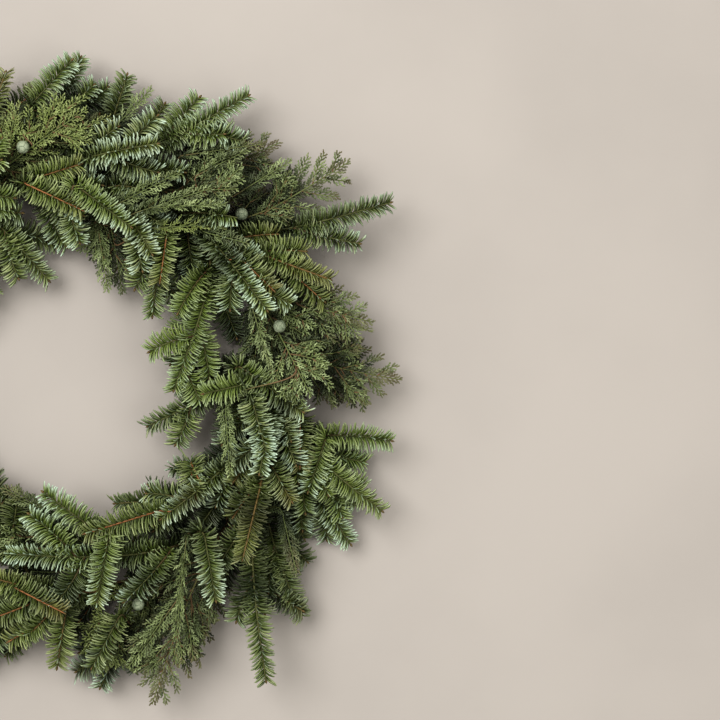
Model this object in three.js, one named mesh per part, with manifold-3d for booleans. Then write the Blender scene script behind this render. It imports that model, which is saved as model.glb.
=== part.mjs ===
// A fresh evergreen wreath, about 24 inches across, lying on its back. Cut fir branches and flat cedar sprays
// are gathered along a steel ring whose clamps close over their stems. A few small cones sit on the cedar.
//
// Millimetres, +Z up, towards whoever looks at the wreath. Clock angles are degrees clockwise from +Y, seen
// from +Z. The foliage sweeps that way: every branch leaves its clamp clockwise and then bends out or in.
import * as THREE from "three";
import { mergeVertices } from "three/addons/utils/BufferGeometryUtils.js";
import Module from "manifold-3d";

// Driving dimensions of the ring
const RING_RADIUS = 200;
const ROD = 5; // across the flats of the ring's rod
const RING_STEPS = 32;
const CLAMP_WIRE = 3;
const CLAMP_PITCH = 18; // degrees of clock angle from clamp to clamp
const WELD = 0.5; // how deep a clamp sinks into the rod
const SLOT = 4.6; // from stem to stem inside a clamp
const SLOTS = 4;
const GAP = 0.3; // between pieces that touch

// Of the foliage
const STEM = 1.6; // radius of a cut stem
const TAIL = 14; // cut end of a stem behind its clamp
const HELD = 5; // straight part of a stem in front of its clamp
const LEAD = 0.28; // share of its reach that a branch first runs along the ring
const CREST = 0.42; // place of a branch's arch between there and its tip
const BARE_STEP = 16;
const FIR = { twig: 1.35, step: 7.8, shootStep: 7.9, bare: 0.26, pitches: [8, 20, -6, 32, -18, 44] };
const CEDAR = { twig: 1.1, step: 11.5, shootStep: 9, bare: 0.2, pitches: [0, 12, -12, 24] };
const NEEDLE = 15;
const SPRAY = 13; // the finest sprays of a cedar
const SIDE_SPRAY = 42; // the longest side sprays of a cedar
const SPRAY_TURN = 46; // degrees from a cedar's stem to its side sprays
const LOW_SHOOT = { place: 0.3, turn: 40, length: 0.33, pitches: [34, 48, 20] };
const BEND_BACK = 0.35; // share of its turn that a shoot loses towards its tip
const PITCH_KEPT = 0.5; // share of its parent's pitch that a shoot keeps
const STEM_END = 0.7; // a stem's radius at its tip, as a share of a twig's
const TWIG_END = 0.65; // and a shoot's
const CONE_RADIUS = 6.5;
const CREASE = 0.93; // a cone's radius where its scales meet, as a share
const CONE_LEAN = 0.45; // how far to the side of its stem a cone sits, against one upwards
const CONE_ROOM = 15; // along the stem, to either side of a cone, without side sprays

// Of the room that the pieces keep
const CLEAR = 4.55; // least distance between the middles of two twigs
const SAMPLE = 2; // spacing of the points that this distance is measured between
const LIFT_STEP = 2.5; // by which a branch is raised until it is clear
const MOST_LIFT = 60;
const LEAST_SHOOT = 14;
const FLOOR = 0.5; // nothing green reaches lower
const LOW_TWIG = 5; // nor the middle of a shoot lower than this

const FIR_GREEN = 0x5a6b3f;
const CEDAR_GREEN = 0x58653f;
const CONE_BLUE = 0x8aa396;
const STEEL_GREEN = 0x3f4a3c;

// The branches. Each leaves the clamp at clock angle `clamp` and ends at [clock angle, radius, height], after
// an arch of the given height. A shoot is [place along the branch, degrees to its right, length]; the centre
// of the wreath lies to a branch's right.
const fir = (clamp, tip, arch, ...shoots) => ({ kind: "fir", clamp, tip, arch, shoots });
const cedar = (clamp, tip, arch) => ({ kind: "cedar", clamp, tip, arch, shoots: [] });
const BRANCHES = [
  fir(-36, [349.5, 298, 38], 52, [0.55, -36, 52]),
  cedar(-36, [6, 256, 66], 62),
  fir(-36, [351, 98, 26], 46, [0.5, 34, 48]),
  fir(-18, [3, 308, 34], 50, [0.6, 34, 44]),
  fir(-18, [8, 158, 62], 60, [0.42, 30, 56]),
  fir(-18, [23, 240, 82], 78, [0.5, -34, 50]),
  fir(0, [11.5, 298, 30], 40),
  fir(0, [33, 322, 46], 58, [0.5, -30, 58], [0.62, 36, 40]),
  fir(0, [36, 148, 66], 62, [0.5, -28, 48]),
  cedar(0, [33, 100, 24], 40),
  cedar(18, [43, 246, 74], 60),
  cedar(18, [42, 306, 34], 46),
  fir(18, [71, 206, 88], 84, [0.52, -26, 52]),
  fir(18, [53.5, 105, 40], 58, [0.55, 36, 42]),
  cedar(36, [52.4, 342, 44], 60),
  fir(36, [61.3, 352, 52], 60, [0.52, 28, 66]),
  fir(36, [69, 270, 56], 70, [0.5, -28, 48]),
  fir(36, [93.6, 106, 52], 68, [0.7, 62, 44]),
  cedar(54, [79, 298, 52], 58),
  cedar(54, [93, 236, 84], 80),
  cedar(72, [89.5, 320, 34], 46),
  fir(72, [114, 205, 80], 76, [0.5, -34, 46]),
  fir(72, [117, 90, 38], 58, [0.72, -50, 40]),
  fir(90, [111.8, 324, 46], 58, [0.34, -62, 88], [0.42, 24, 48]),
  fir(90, [119.6, 312, 20], 28, [0.58, -44, 50]),
  fir(90, [133, 236, 90], 84, [0.55, 32, 44]),
  fir(90, [143, 158, 66], 64, [0.5, -34, 44]),
  fir(108, [134.8, 316, 26], 38, [0.55, 30, 44]),
  fir(108, [157, 124, 34], 52, [0.55, -36, 44]),
  fir(108, [145.3, 338, 58], 70, [0.55, 30, 46]),
  fir(126, [197, 166, 62], 72, [0.72, 50, 60], [0.68, -70, 56]),
  cedar(126, [164.4, 314, 42], 58),
  cedar(144, [174, 264, 36], 44),
  fir(144, [173.5, 292, 22], 32, [0.55, 32, 40]),
  fir(162, [201, 190, 76], 66, [0.45, -72, 58], [0.52, -42, 66]),
  cedar(162, [210, 116, 34], 50),
  fir(180, [205, 300, 34], 46, [0.5, -34, 46]),
  fir(180, [216, 108, 34], 52, [0.55, 34, 40]),
  cedar(198, [226, 306, 44], 56),
  fir(198, [238, 232, 78], 74, [0.5, -32, 48]),
  fir(198, [231, 112, 34], 50, [0.55, 34, 40]),
  fir(216, [244, 318, 40], 54, [0.5, 32, 46], [0.62, -36, 42]),
  cedar(216, [252, 104, 34], 50),
  fir(234, [262, 298, 36], 50, [0.55, -34, 44]),
  fir(234, [272, 216, 80], 76, [0.5, 32, 46]),
  fir(252, [282, 318, 42], 56, [0.5, -34, 48], [0.62, 36, 42]),
  cedar(252, [290, 250, 72], 66),
  cedar(270, [301, 310, 38], 50),
  fir(270, [310, 236, 78], 72, [0.5, -34, 48]),
  fir(270, [306, 110, 36], 52, [0.55, 34, 42]),
  fir(288, [322, 300, 36], 52, [0.5, 34, 46]),
  cedar(288, [326, 104, 32], 46),
  fir(306, [337, 318, 44], 58, [0.5, -32, 50]),
  fir(306, [346, 212, 80], 76, [0.5, -32, 46]),
];

// The cones: [place of the cedar in BRANCHES, counted from 0, place along its stem, side (+1 is the right)]
const CONES = [
  [1, 0.58, -1],
  [14, 0.28, -1],
  [19, 0.5, -1],
  [32, 0.48, -1],
  [46, 0.5, -1],
];

const STEM_Z = ROD - WELD + CLAMP_WIRE + GAP + STEM;
const DEGREE = Math.PI / 180;
const UP = new THREE.Vector3(0, 0, 1);
const clockPoint = (clock, radius, z) =>
  new THREE.Vector3(radius * Math.sin(clock * DEGREE), radius * Math.cos(clock * DEGREE), z);
const heading = (clock, pitch = 0) =>
  clockPoint(clock, Math.cos(pitch * DEGREE), Math.sin(pitch * DEGREE));
const clockOf = (v) => Math.atan2(v.x, v.y) / DEGREE;
const pitchOf = (v) => Math.asin(v.z / v.length()) / DEGREE;

// A random number maker that gives the same draw each time it starts from the same seed
function seeded(seed) {
  let state = seed;
  return () => {
    state = (state + 0x6d2b79f5) | 0;
    let t = Math.imul(state ^ (state >>> 15), 1 | state);
    t = (t + Math.imul(t ^ (t >>> 7), 61 | t)) ^ t;
    return ((t ^ (t >>> 14)) >>> 0) / 4294967296;
  };
}

// ---- Where the twigs run

// Points at an even spacing along a line of points
function respaced(points, spacing) {
  const at = [0];
  for (let i = 1; i < points.length; i++) at.push(at[i - 1] + points[i].distanceTo(points[i - 1]));
  const steps = Math.max(1, Math.round(at[at.length - 1] / spacing));
  const made = [];
  let k = 0;
  for (let i = 0; i <= steps; i++) {
    const along = (at[at.length - 1] * i) / steps;
    while (k < at.length - 2 && at[k + 1] < along) k++;
    made.push(points[k].clone().lerp(points[k + 1], (along - at[k]) / (at[k + 1] - at[k])));
  }
  return made;
}

// A branch from its clamp to its tip, raised by lift once it has left the clamp
function branchLine(branch, slot, lift) {
  const [clock, radius, height] = branch.tip;
  const along = heading(branch.clamp + 90);
  const start = clockPoint(branch.clamp, RING_RADIUS + slot, STEM_Z).addScaledVector(along, HELD);
  const tip = clockPoint(clock, radius, height + lift);
  const reach = tip.distanceTo(start);
  const lead = start.clone().addScaledVector(along, LEAD * reach);
  const crest = lead.clone().lerp(tip, CREST).setZ(branch.arch + lift);
  const curve = new THREE.CubicBezierCurve3(start, lead, crest, tip);
  return respaced(curve.getPoints(48), SAMPLE);
}

// A shoot that leaves a point at a turn from its parent's heading and at a pitch, and bends back on its way
function shootLine(from, parentClock, turn, pitch, length) {
  const points = [from.clone()];
  const steps = Math.round(length / SAMPLE);
  for (let i = 0; i < steps; i++) {
    const way = heading(parentClock + turn * (1 - (BEND_BACK * i) / steps), pitch * (1 - i / steps));
    points.push(points[i].clone().addScaledVector(way, SAMPLE));
  }
  return points;
}

// The points of all that is laid so far, each with its owner and the room it needs more than a twig does
const laid = [];
const lay = (points, owner, more = 0) => points.forEach((p) => laid.push({ p, owner, need: CLEAR + more }));
// How many points of a line stay clear of them
function clearRun(line, owners, from = 0) {
  for (let i = from; i < line.length; i++) {
    for (const other of laid) {
      if (owners.includes(other.owner) || Math.abs(other.p.z - line[i].z) > other.need) continue;
      if (other.p.distanceTo(line[i]) < other.need) return i;
    }
  }
  return line.length;
}

// The middle of a clamp's wire: a long rectangle round the stems, square to the ring
const CLAMP_HALF = (SLOTS * SLOT) / 2 + CLAMP_WIRE / 2 + GAP;
const CLAMP_RISE = STEM + CLAMP_WIRE / 2 + GAP;
function clampLoop(clock) {
  const corners = [[-1, -1], [-1, 1], [1, 1], [1, -1]];
  return corners.map(([a, b]) => clockPoint(clock, RING_RADIUS + a * CLAMP_HALF, STEM_Z + b * CLAMP_RISE));
}

// How far a branch turns outwards from the ring on its way to its tip, in degrees
function turnOut(branch) {
  const way = clockPoint(branch.tip[0], branch.tip[1], 0).sub(clockPoint(branch.clamp, RING_RADIUS, 0));
  return Math.atan2(way.dot(heading(branch.clamp)), way.dot(heading(branch.clamp + 90))) / DEGREE;
}

// The stems of one clamp lie side by side, the one that turns out furthest in the outermost slot
function slotOf(branch) {
  const mates = BRANCHES.filter((b) => b.clamp === branch.clamp).sort((a, b) => turnOut(a) - turnOut(b));
  return SLOT * (mates.indexOf(branch) - (mates.length - 1) / 2);
}

// Lays a shoot at the first pitch that is clear, or cut short where none is
function layShoot(main, owner, [place, turn, length], pitches) {
  const at = Math.round(place * (main.length - 1));
  const way = main[Math.min(at + 2, main.length - 1)].clone().sub(main[at - 2]);
  let best = [];
  for (const pitch of pitches) {
    const line = shootLine(main[at], clockOf(way), turn, pitchOf(way) * PITCH_KEPT + pitch, length);
    const low = line.findIndex((p) => p.z < LOW_TWIG);
    const run = Math.min(clearRun(line, [owner]), low < 0 ? line.length : low);
    if (run > best.length) best = line.slice(0, run);
    if (run === line.length) break;
  }
  if (best.length * SAMPLE < LEAST_SHOOT) return null;
  lay(best, owner);
  return { at, turn, line: best };
}

// A cedar's side sprays, to either side in turn: they grow longer at first and then shorter towards the tip,
// and leave room for its cone
function cedarSprays({ line, number }) {
  const length = (line.length - 1) * SAMPLE;
  const count = Math.floor((length * (1 - CEDAR.bare) - SPRAY / 2) / CEDAR.step);
  const sprays = Array.from({ length: count }, (_, i) => {
    const along = length * CEDAR.bare + i * CEDAR.step;
    const reach = Math.min(SIDE_SPRAY, 22 + i * 9, 10 + 0.5 * (length - along));
    return [along / length, i % 2 ? SPRAY_TURN : -SPRAY_TURN, reach];
  });
  const cone = CONES.find(([owner]) => owner === number);
  return sprays.filter(([place]) => !cone || Math.abs(place - cone[1]) * length > CONE_ROOM);
}

// A shorter shoot low on a fir branch, to either side in turn: they fill the wreath's body
function lowShoot({ line, number }) {
  const turn = number % 2 ? LOW_SHOOT.turn : -LOW_SHOOT.turn;
  return [LOW_SHOOT.place, turn, LOW_SHOOT.length * (line.length - 1) * SAMPLE];
}

// Where a cone sits over its cedar's stem, a little to one side, and the way it looks
function coneSeat(made, [number, placeAlong, side]) {
  const line = made[number].line;
  const at = Math.round(placeAlong * (line.length - 1));
  const right = line[at + 1].clone().sub(line[at - 1]).cross(UP).normalize();
  const lift = right.multiplyScalar(side * CONE_LEAN).addScaledVector(UP, 1).normalize();
  return { seat: line[at].clone().addScaledVector(lift, CONE_RADIUS + STEM + GAP), lift };
}

// Lays the stems, each raised until it is clear of those before it, and then the shoots in the room left
function layBranches() {
  for (let clock = 0; clock < 360; clock += CLAMP_PITCH) {
    const loop = clampLoop(clock);
    loop.forEach((corner, i) => lay(respaced([corner, loop[(i + 1) % 4]], SAMPLE), "clamp" + clock));
  }
  const made = BRANCHES.map((branch, number) => {
    const held = clockPoint(branch.clamp, RING_RADIUS + slotOf(branch), STEM_Z);
    const tail = held.clone().addScaledVector(heading(branch.clamp - 90), TAIL);
    const front = held.clone().addScaledVector(heading(branch.clamp + 90), HELD);
    lay(respaced([tail, front], SAMPLE), number);
    return { branch, number, tail, kind: branch.kind === "fir" ? FIR : CEDAR };
  });
  for (const m of made) {
    const own = [m.number, "clamp" + ((m.branch.clamp + 360) % 360)];
    for (let lift = 0; lift < MOST_LIFT; lift += LIFT_STEP) {
      m.line = branchLine(m.branch, slotOf(m.branch), lift);
      if (clearRun(m.line, own, 1) === m.line.length) break;
    }
    lay(m.line, m.number);
  }
  CONES.forEach((cone, i) => lay([coneSeat(made, cone).seat], "cone" + i, CONE_RADIUS + 1));
  for (const m of made) {
    const wanted = m.kind === FIR ? m.branch.shoots : cedarSprays(m);
    m.shoots = wanted.map((shoot) => layShoot(m.line, m.number, shoot, m.kind.pitches));
  }
  for (const m of made.filter((m) => m.kind === FIR))
    m.shoots.push(layShoot(m.line, m.number, lowShoot(m), LOW_SHOOT.pitches));
  for (const m of made) m.shoots = m.shoots.filter(Boolean);
  return made;
}

// ---- Skins

// What a needle has to miss: tapering rods, each with its owner
const rods = [];
function addRod(a, b, ra, rb, owner, twig) {
  const low = a.clone().min(b).subScalar(Math.max(ra, rb));
  const high = a.clone().max(b).addScalar(Math.max(ra, rb));
  rods.push({ a, b, ra, rb, owner, twig, low, high });
}
const rodsAlong = (line, radius, owner, twig) =>
  line.slice(1).forEach((p, i) => addRod(line[i], p, radius, radius, owner, twig));

// The shortest way between two segments, with its places along both
function between(p1, q1, p2, q2) {
  const d1 = q1.clone().sub(p1);
  const d2 = q2.clone().sub(p2);
  const r = p1.clone().sub(p2);
  const a = d1.dot(d1);
  const e = d2.dot(d2);
  const f = d2.dot(r);
  const c = d1.dot(r);
  const b = d1.dot(d2);
  const { clamp } = THREE.MathUtils;
  const det = a * e - b * b;
  let s = det > 1e-9 ? clamp((b * f - c * e) / det, 0, 1) : 0;
  let t = (b * s + f) / e;
  if (t < 0 || t > 1) {
    t = clamp(t, 0, 1);
    s = clamp((b * t - c) / a, 0, 1);
  }
  const near = p1.clone().addScaledVector(d1, s);
  return { s, t, distance: near.distanceTo(p2.clone().addScaledVector(d2, t)) };
}

// True if a rod from a to b misses every other, and the floor. Rods of the twig it grows on don't count
function misses(a, b, ra, rb, owner, twig) {
  if (b.z < FLOOR) return false;
  const low = a.clone().min(b).subScalar(ra + GAP);
  const high = a.clone().max(b).addScalar(ra + GAP);
  for (const rod of rods) {
    if (rod.owner === owner && rod.twig === twig) continue;
    if (rod.low.x > high.x || rod.high.x < low.x || rod.low.y > high.y || rod.high.y < low.y) continue;
    if (rod.low.z > high.z || rod.high.z < low.z) continue;
    const n = between(a, b, rod.a, rod.b);
    const need = ra + (rb - ra) * n.s + rod.ra + (rod.rb - rod.ra) * n.t + GAP;
    if (n.distance < need) return false;
  }
  return true;
}

// One closed skin of triangles. All of a branch grows out of it: a face is taken off and carried along a line
// as a three-sided twig, or drawn out to a point as a needle, so that the branch stays one closed body.
class Skin {
  constructor() {
    this.points = [];
    this.faces = [];
  }
  add(point) {
    return this.points.push(point) - 1;
  }
  // Three corners round a middle, one on top: counterclockwise as seen from ahead
  ring(middle, forward, radius) {
    const side = forward.clone().cross(UP).normalize();
    const over = side.clone().cross(forward).normalize();
    return [90, -30, -150].map((angle) =>
      this.add(
        middle
          .clone()
          .addScaledVector(side, radius * Math.cos(angle * DEGREE))
          .addScaledVector(over, radius * Math.sin(angle * DEGREE)),
      ),
    );
  }
  // Joins two rings by six faces, and gives their numbers: two for each of right, under and left
  join(back, front) {
    const first = this.faces.length;
    for (let k = 0; k < 3; k++) {
      const n = (k + 1) % 3;
      this.faces.push([back[k], back[n], front[n]], [back[k], front[n], front[k]]);
    }
    return first;
  }
  // Carries an open triangle along a line with a radius at each point, ends it in a point, gives the steps
  carry(open, line, radii) {
    const steps = [];
    let back = open;
    for (let i = 1; i < line.length; i++) {
      const forward = line[Math.min(i + 1, line.length - 1)].clone().sub(line[i - 1]).normalize();
      if (i === line.length - 1) {
        const tip = this.add(line[i]);
        for (let k = 0; k < 3; k++) this.faces.push([back[k], back[(k + 1) % 3], tip]);
        break;
      }
      let front = this.ring(line[i], forward, radii(i));
      if (i === 1) front = this.turned(back, front);
      steps.push({ first: this.join(back, front), middle: line[i], forward });
      back = front;
    }
    return steps;
  }
  // The ring begun at the corner that lies best with the open triangle's first one
  turned(back, front) {
    const cost = (shift) =>
      back.reduce((sum, b, k) => sum + this.points[b].distanceTo(this.points[front[(k + shift) % 3]]), 0);
    const shift = [0, 1, 2].reduce((best, s) => (cost(s) < cost(best) ? s : best), 0);
    return [0, 1, 2].map((k) => front[(k + shift) % 3]);
  }
  // The least height of the triangles that would join an open triangle to a ring
  leastHeight(open, middle, forward, radius) {
    const faces = this.faces.length;
    const front = this.turned(open, this.ring(middle, forward, radius));
    this.join(open, front);
    const heights = this.faces.slice(faces).map((corners) => {
      const [a, b, c] = corners.map((i) => this.points[i]);
      const longest = Math.max(a.distanceTo(b), b.distanceTo(c), c.distanceTo(a));
      return (2 * new THREE.Triangle(a, b, c).getArea()) / longest;
    });
    this.faces.length = faces;
    this.points.length -= 3;
    return Math.min(...heights);
  }
  // The place on it that is nearest to a point outside
  nearestTo(point) {
    const places = this.faces.filter(Boolean).map((corners) => {
      const face = new THREE.Triangle(...corners.map((i) => this.points[i]));
      return face.closestPointToPoint(point, new THREE.Vector3());
    });
    return places.reduce((a, b) => (b.distanceTo(point) < a.distanceTo(point) ? b : a));
  }
  middleOf(face) {
    const [a, b, c] = this.faces[face].map((i) => this.points[i]);
    return a.clone().add(b).add(c).divideScalar(3);
  }
  normalOf(face) {
    const [a, b, c] = this.faces[face].map((i) => this.points[i]);
    return b.clone().sub(a).cross(c.clone().sub(a)).normalize();
  }
  // Takes a face off and gives its corners
  open(face) {
    const corners = this.faces[face];
    this.faces[face] = null;
    return corners;
  }
  // Draws a face out to a point
  draw(face, tip) {
    const corners = this.open(face);
    const apex = this.add(tip);
    for (let k = 0; k < 3; k++) this.faces.push([corners[k], corners[(k + 1) % 3], apex]);
  }
  geometry() {
    const kept = this.faces.filter(Boolean);
    const geometry = new THREE.BufferGeometry();
    geometry.setAttribute(
      "position",
      new THREE.Float32BufferAttribute(this.points.flatMap((p) => [p.x, p.y, p.z]), 3),
    );
    geometry.setIndex(kept.flat());
    geometry.computeVertexNormals();
    return geometry;
  }
}

// The free face of a step that looks most nearly in a direction
function faceTowards(skin, step, direction) {
  let best = -1;
  let most = -2;
  for (let f = step.first; f < step.first + 6; f++) {
    if (!skin.faces[f]) continue;
    const toward = skin.normalOf(f).dot(direction);
    if (toward > most) [best, most] = [f, toward];
  }
  return best;
}

const NEEDLE_BASE = 0.65;
const NEEDLE_TIP = 0.25;
const LEAST_FACING = 0.35; // how nearly a needle follows the normal of the face that it grows on
const LEAST_OUT = 0.2; // and a shoot
// What a needle tries in turn to find room: [degrees more upwards, share of its length]
const NEEDLE_WAYS = [[0, 1], [14, 1], [-12, 1], [26, 0.9], [8, 0.7]];
// Draws one needle or fine spray out of a step, to its side and leaning forward, where it has room
function drawNeedle(skin, step, across, rise, lean, length, owner, twig) {
  const side = step.forward.clone().cross(UP).normalize();
  const over = side.clone().cross(step.forward).normalize();
  const out = side
    .multiplyScalar(across * Math.cos(rise * DEGREE))
    .addScaledVector(over, Math.sin(rise * DEGREE));
  const face = faceTowards(skin, step, out);
  if (face < 0) return;
  const root = skin.middleOf(face);
  const corners = skin.faces[face].map((i) => skin.points[i]);
  const edges = corners.map((p, i) => p.clone().lerp(corners[(i + 1) % 3], 0.5));
  const roots = [root, ...corners, ...edges];
  for (const [more, part] of NEEDLE_WAYS) {
    const tilt = out.clone().addScaledVector(over, Math.sin(more * DEGREE)).normalize();
    const way = tilt
      .multiplyScalar(Math.sin(lean * DEGREE))
      .addScaledVector(step.forward, Math.cos(lean * DEGREE))
      .normalize();
    const tip = root.clone().addScaledVector(way, length * part);
    if (way.dot(skin.normalOf(face)) < LEAST_FACING) continue;
    if (!roots.every((from) => misses(from, tip, NEEDLE_BASE, NEEDLE_TIP, owner, twig))) continue;
    skin.draw(face, tip);
    roots.forEach((from) => addRod(from, tip, NEEDLE_BASE, NEEDLE_TIP, owner, twig));
    return;
  }
}

// Starts a skin at the cut end of a stem and carries it to the tip, in long steps where it is bare
function growStem({ line, tail, kind, number }) {
  const split = Math.round(kind.bare * (line.length - 1));
  const bare = [tail, ...respaced(line.slice(0, split + 1), BARE_STEP)];
  const leafy = respaced(line.slice(split), kind.step).slice(1);
  const whole = [...bare, ...leafy];
  const skin = new Skin();
  const cut = skin.ring(tail, bare[1].clone().sub(tail).normalize(), STEM);
  skin.faces.push([cut[0], cut[2], cut[1]]);
  const thinned = (i) => Math.max(0, i + 1 - bare.length) / (leafy.length + 1);
  const steps = skin.carry(cut, whole, (i) => THREE.MathUtils.lerp(STEM, kind.twig * STEM_END, thinned(i)));
  rodsAlong(whole, STEM, number, 0);
  return { skin, steps, leafy: steps.slice(bare.length - 1) };
}

const FIRST_STEPS = [0.5, 0.35, 0.65, 0.8, 1, 1.2]; // where a shoot's first ring may stand, as a share
// Grows a shoot out of the stem's face that looks its way, with no sliver where it leaves it
function growShoot({ grown, kind, number }, shoot, twig) {
  const { skin, steps } = grown;
  const root = shoot.line[0];
  const away = (step) => step.middle.distanceTo(root);
  const from = steps.reduce((a, b) => (away(b) < away(a) ? b : a));
  const way = shoot.line[4].clone().sub(root).normalize();
  const out = way.clone().addScaledVector(from.forward, -way.dot(from.forward)).normalize();
  const face = faceTowards(skin, from, out);
  if (face < 0 || skin.normalOf(face).dot(way) < LEAST_OUT) return [];
  const start = skin.middleOf(face);
  const line = [start, ...respaced(shoot.line.slice(2), kind.shootStep)];
  const ahead = line[2].clone().sub(start).normalize();
  const height = (p) => skin.leastHeight(skin.faces[face], p, ahead, kind.twig);
  const firsts = FIRST_STEPS.map((share) => start.clone().lerp(line[1], share));
  line[1] = firsts.reduce((a, b) => (height(b) > height(a) ? b : a));
  rodsAlong(line, kind.twig, number, twig);
  return skin.carry(skin.open(face), line, (i) => kind.twig * (1 - ((1 - TWIG_END) * i) / line.length));
}

const LEAN = { base: 68, tip: 42 }; // degrees from the twig to its needles
const TOP_NEEDLE = { rise: 64, lean: -8, length: 0.85 };
const LOW_NEEDLE = { rise: -70, lean: -10, length: 0.6 };
// Needles on a fir twig: a comb to each side, and others above and below in turn
function needleTwig(skin, steps, owner, twig, random) {
  steps.forEach((step, i) => {
    const share = (i + 0.5) / steps.length;
    const length = NEEDLE * Math.min(1, 0.8 + share, 1.5 - 0.75 * share) * (0.92 + 0.16 * random());
    const lean = LEAN.base + (LEAN.tip - LEAN.base) * share * share;
    for (const side of [1, -1]) drawNeedle(skin, step, side, 4 + 16 * random(), lean, length, owner, twig);
    if (i % 2 === 0) return;
    const more = i % 4 === 1 ? TOP_NEEDLE : LOW_NEEDLE;
    const side = i % 8 < 4 ? 1 : -1;
    drawNeedle(skin, step, side, more.rise, lean + more.lean, length * more.length, owner, twig);
  });
}

const FORWARD = 46; // degrees from a cedar twig to its finest sprays
const SPRAY_RISE = 8;
// The finest sprays on a cedar: a pair at each step, pressed forward
function sprayTwig(skin, steps, owner, twig, random) {
  steps.forEach((step, i) => {
    const share = i / steps.length;
    const length = SPRAY * (1.1 - 0.4 * share) * (0.85 + 0.3 * random());
    for (const side of [1, -1]) drawNeedle(skin, step, side, SPRAY_RISE, FORWARD, length, owner, twig);
  });
}

// ---- The pieces

const wreath = new THREE.Group();
function place(geometry, name, color, roughness, metalness = 0) {
  const mesh = new THREE.Mesh(geometry, new THREE.MeshStandardMaterial({ color, roughness, metalness }));
  mesh.name = name;
  wreath.add(mesh);
  return mesh;
}

const wasm = await Module();
wasm.setup();
function solid(geometry) {
  const bare = geometry.clone().deleteAttribute("normal").deleteAttribute("uv");
  const merged = mergeVertices(bare, 1e-4);
  return new wasm.Manifold(
    new wasm.Mesh({
      numProp: 3,
      vertProperties: merged.attributes.position.array,
      triVerts: new Uint32Array(merged.index.array),
    }),
  );
}
function geometryOf(manifold) {
  const mesh = manifold.getMesh();
  const geometry = new THREE.BufferGeometry();
  geometry.setAttribute("position", new THREE.Float32BufferAttribute(mesh.vertProperties, 3));
  geometry.setIndex(Array.from(mesh.triVerts));
  geometry.computeVertexNormals();
  return geometry;
}

// A closed loop of rod with its section's corners round each middle, in the plane of outward and over
function closedRod(middles, outwards, overs, sides, radius, phase) {
  const positions = [];
  const index = [];
  middles.forEach((middle, i) => {
    for (let k = 0; k < sides; k++) {
      const angle = phase + (k * 2 * Math.PI) / sides;
      const p = middle
        .clone()
        .addScaledVector(outwards[i], radius * Math.cos(angle))
        .addScaledVector(overs[i], radius * Math.sin(angle));
      positions.push(p.x, p.y, p.z);
      const n = (i + 1) % middles.length;
      const [a, b] = [i * sides + k, i * sides + ((k + 1) % sides)];
      const [c, d] = [n * sides + k, n * sides + ((k + 1) % sides)];
      index.push(a, b, c, b, d, c);
    }
  });
  const geometry = new THREE.BufferGeometry();
  geometry.setAttribute("position", new THREE.Float32BufferAttribute(positions, 3));
  geometry.setIndex(index);
  geometry.computeVertexNormals();
  return geometry;
}

// The ring's rod: six-sided, with one flat on the surface it lies on
const rodClocks = Array.from({ length: RING_STEPS }, (_, i) => (i * 360) / RING_STEPS);
const rodMiddles = () => rodClocks.map((clock) => clockPoint(clock, RING_RADIUS, ROD / 2));
function ringRod() {
  const outwards = rodClocks.map((clock) => heading(clock));
  return closedRod(rodMiddles(), outwards, outwards.map(() => UP), 6, ROD / Math.sqrt(3), 0);
}

// One clamp: a loop of wire welded on the rod and closed over the stems
function clampWire(clock) {
  const loop = clampLoop(clock);
  const along = heading(clock + 90);
  const sides = loop.map((p, i) => along.clone().cross(loop[(i + 1) % 4].clone().sub(p)).normalize());
  const mitres = sides.map((side, i) => {
    const before = sides[(i + 3) % 4];
    return side.clone().add(before).divideScalar(1 + side.dot(before));
  });
  return closedRod(loop, mitres, loop.map(() => along), 4, CLAMP_WIRE / Math.SQRT2, Math.PI / 4);
}

function clampRing() {
  let ring = solid(ringRod());
  for (let clock = 0; clock < 360; clock += CLAMP_PITCH) ring = ring.add(solid(clampWire(clock)));
  return geometryOf(ring);
}

// A cone: twelve scales, each with a boss, that meet in low creases. One boss looks down at its stem
function coneGeometry(down) {
  const bosses = new THREE.IcosahedronGeometry(1, 0).attributes.position;
  const cone = mergeVertices(
    new THREE.IcosahedronGeometry(CONE_RADIUS, 1).deleteAttribute("normal").deleteAttribute("uv"),
    1e-3,
  );
  const p = new THREE.Vector3();
  const q = new THREE.Vector3();
  for (let i = 0; i < cone.attributes.position.count; i++) {
    p.fromBufferAttribute(cone.attributes.position, i);
    let boss = false;
    for (let k = 0; k < bosses.count && !boss; k++)
      boss = q.fromBufferAttribute(bosses, k).normalize().dot(p.clone().normalize()) > 0.99;
    p.setLength(boss ? CONE_RADIUS : CONE_RADIUS * CREASE);
    cone.attributes.position.setXYZ(i, p.x, p.y, p.z);
  }
  q.fromBufferAttribute(bosses, 0).normalize();
  cone.applyQuaternion(new THREE.Quaternion().setFromUnitVectors(q, down));
  cone.computeVertexNormals();
  return cone;
}

place(clampRing(), "clamp_ring", STEEL_GREEN, 0.5, 0.6);
for (let clock = 0; clock < 360; clock += CLAMP_PITCH) {
  const loop = clampLoop(clock);
  rodsAlong([...loop, loop[0]], CLAMP_WIRE / Math.SQRT2, "ring", 0);
}
const round = rodMiddles();
rodsAlong([...round, round[0]], ROD / Math.sqrt(3), "ring", 0);

const branches = layBranches();
for (const m of branches) m.grown = growStem(m);

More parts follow.
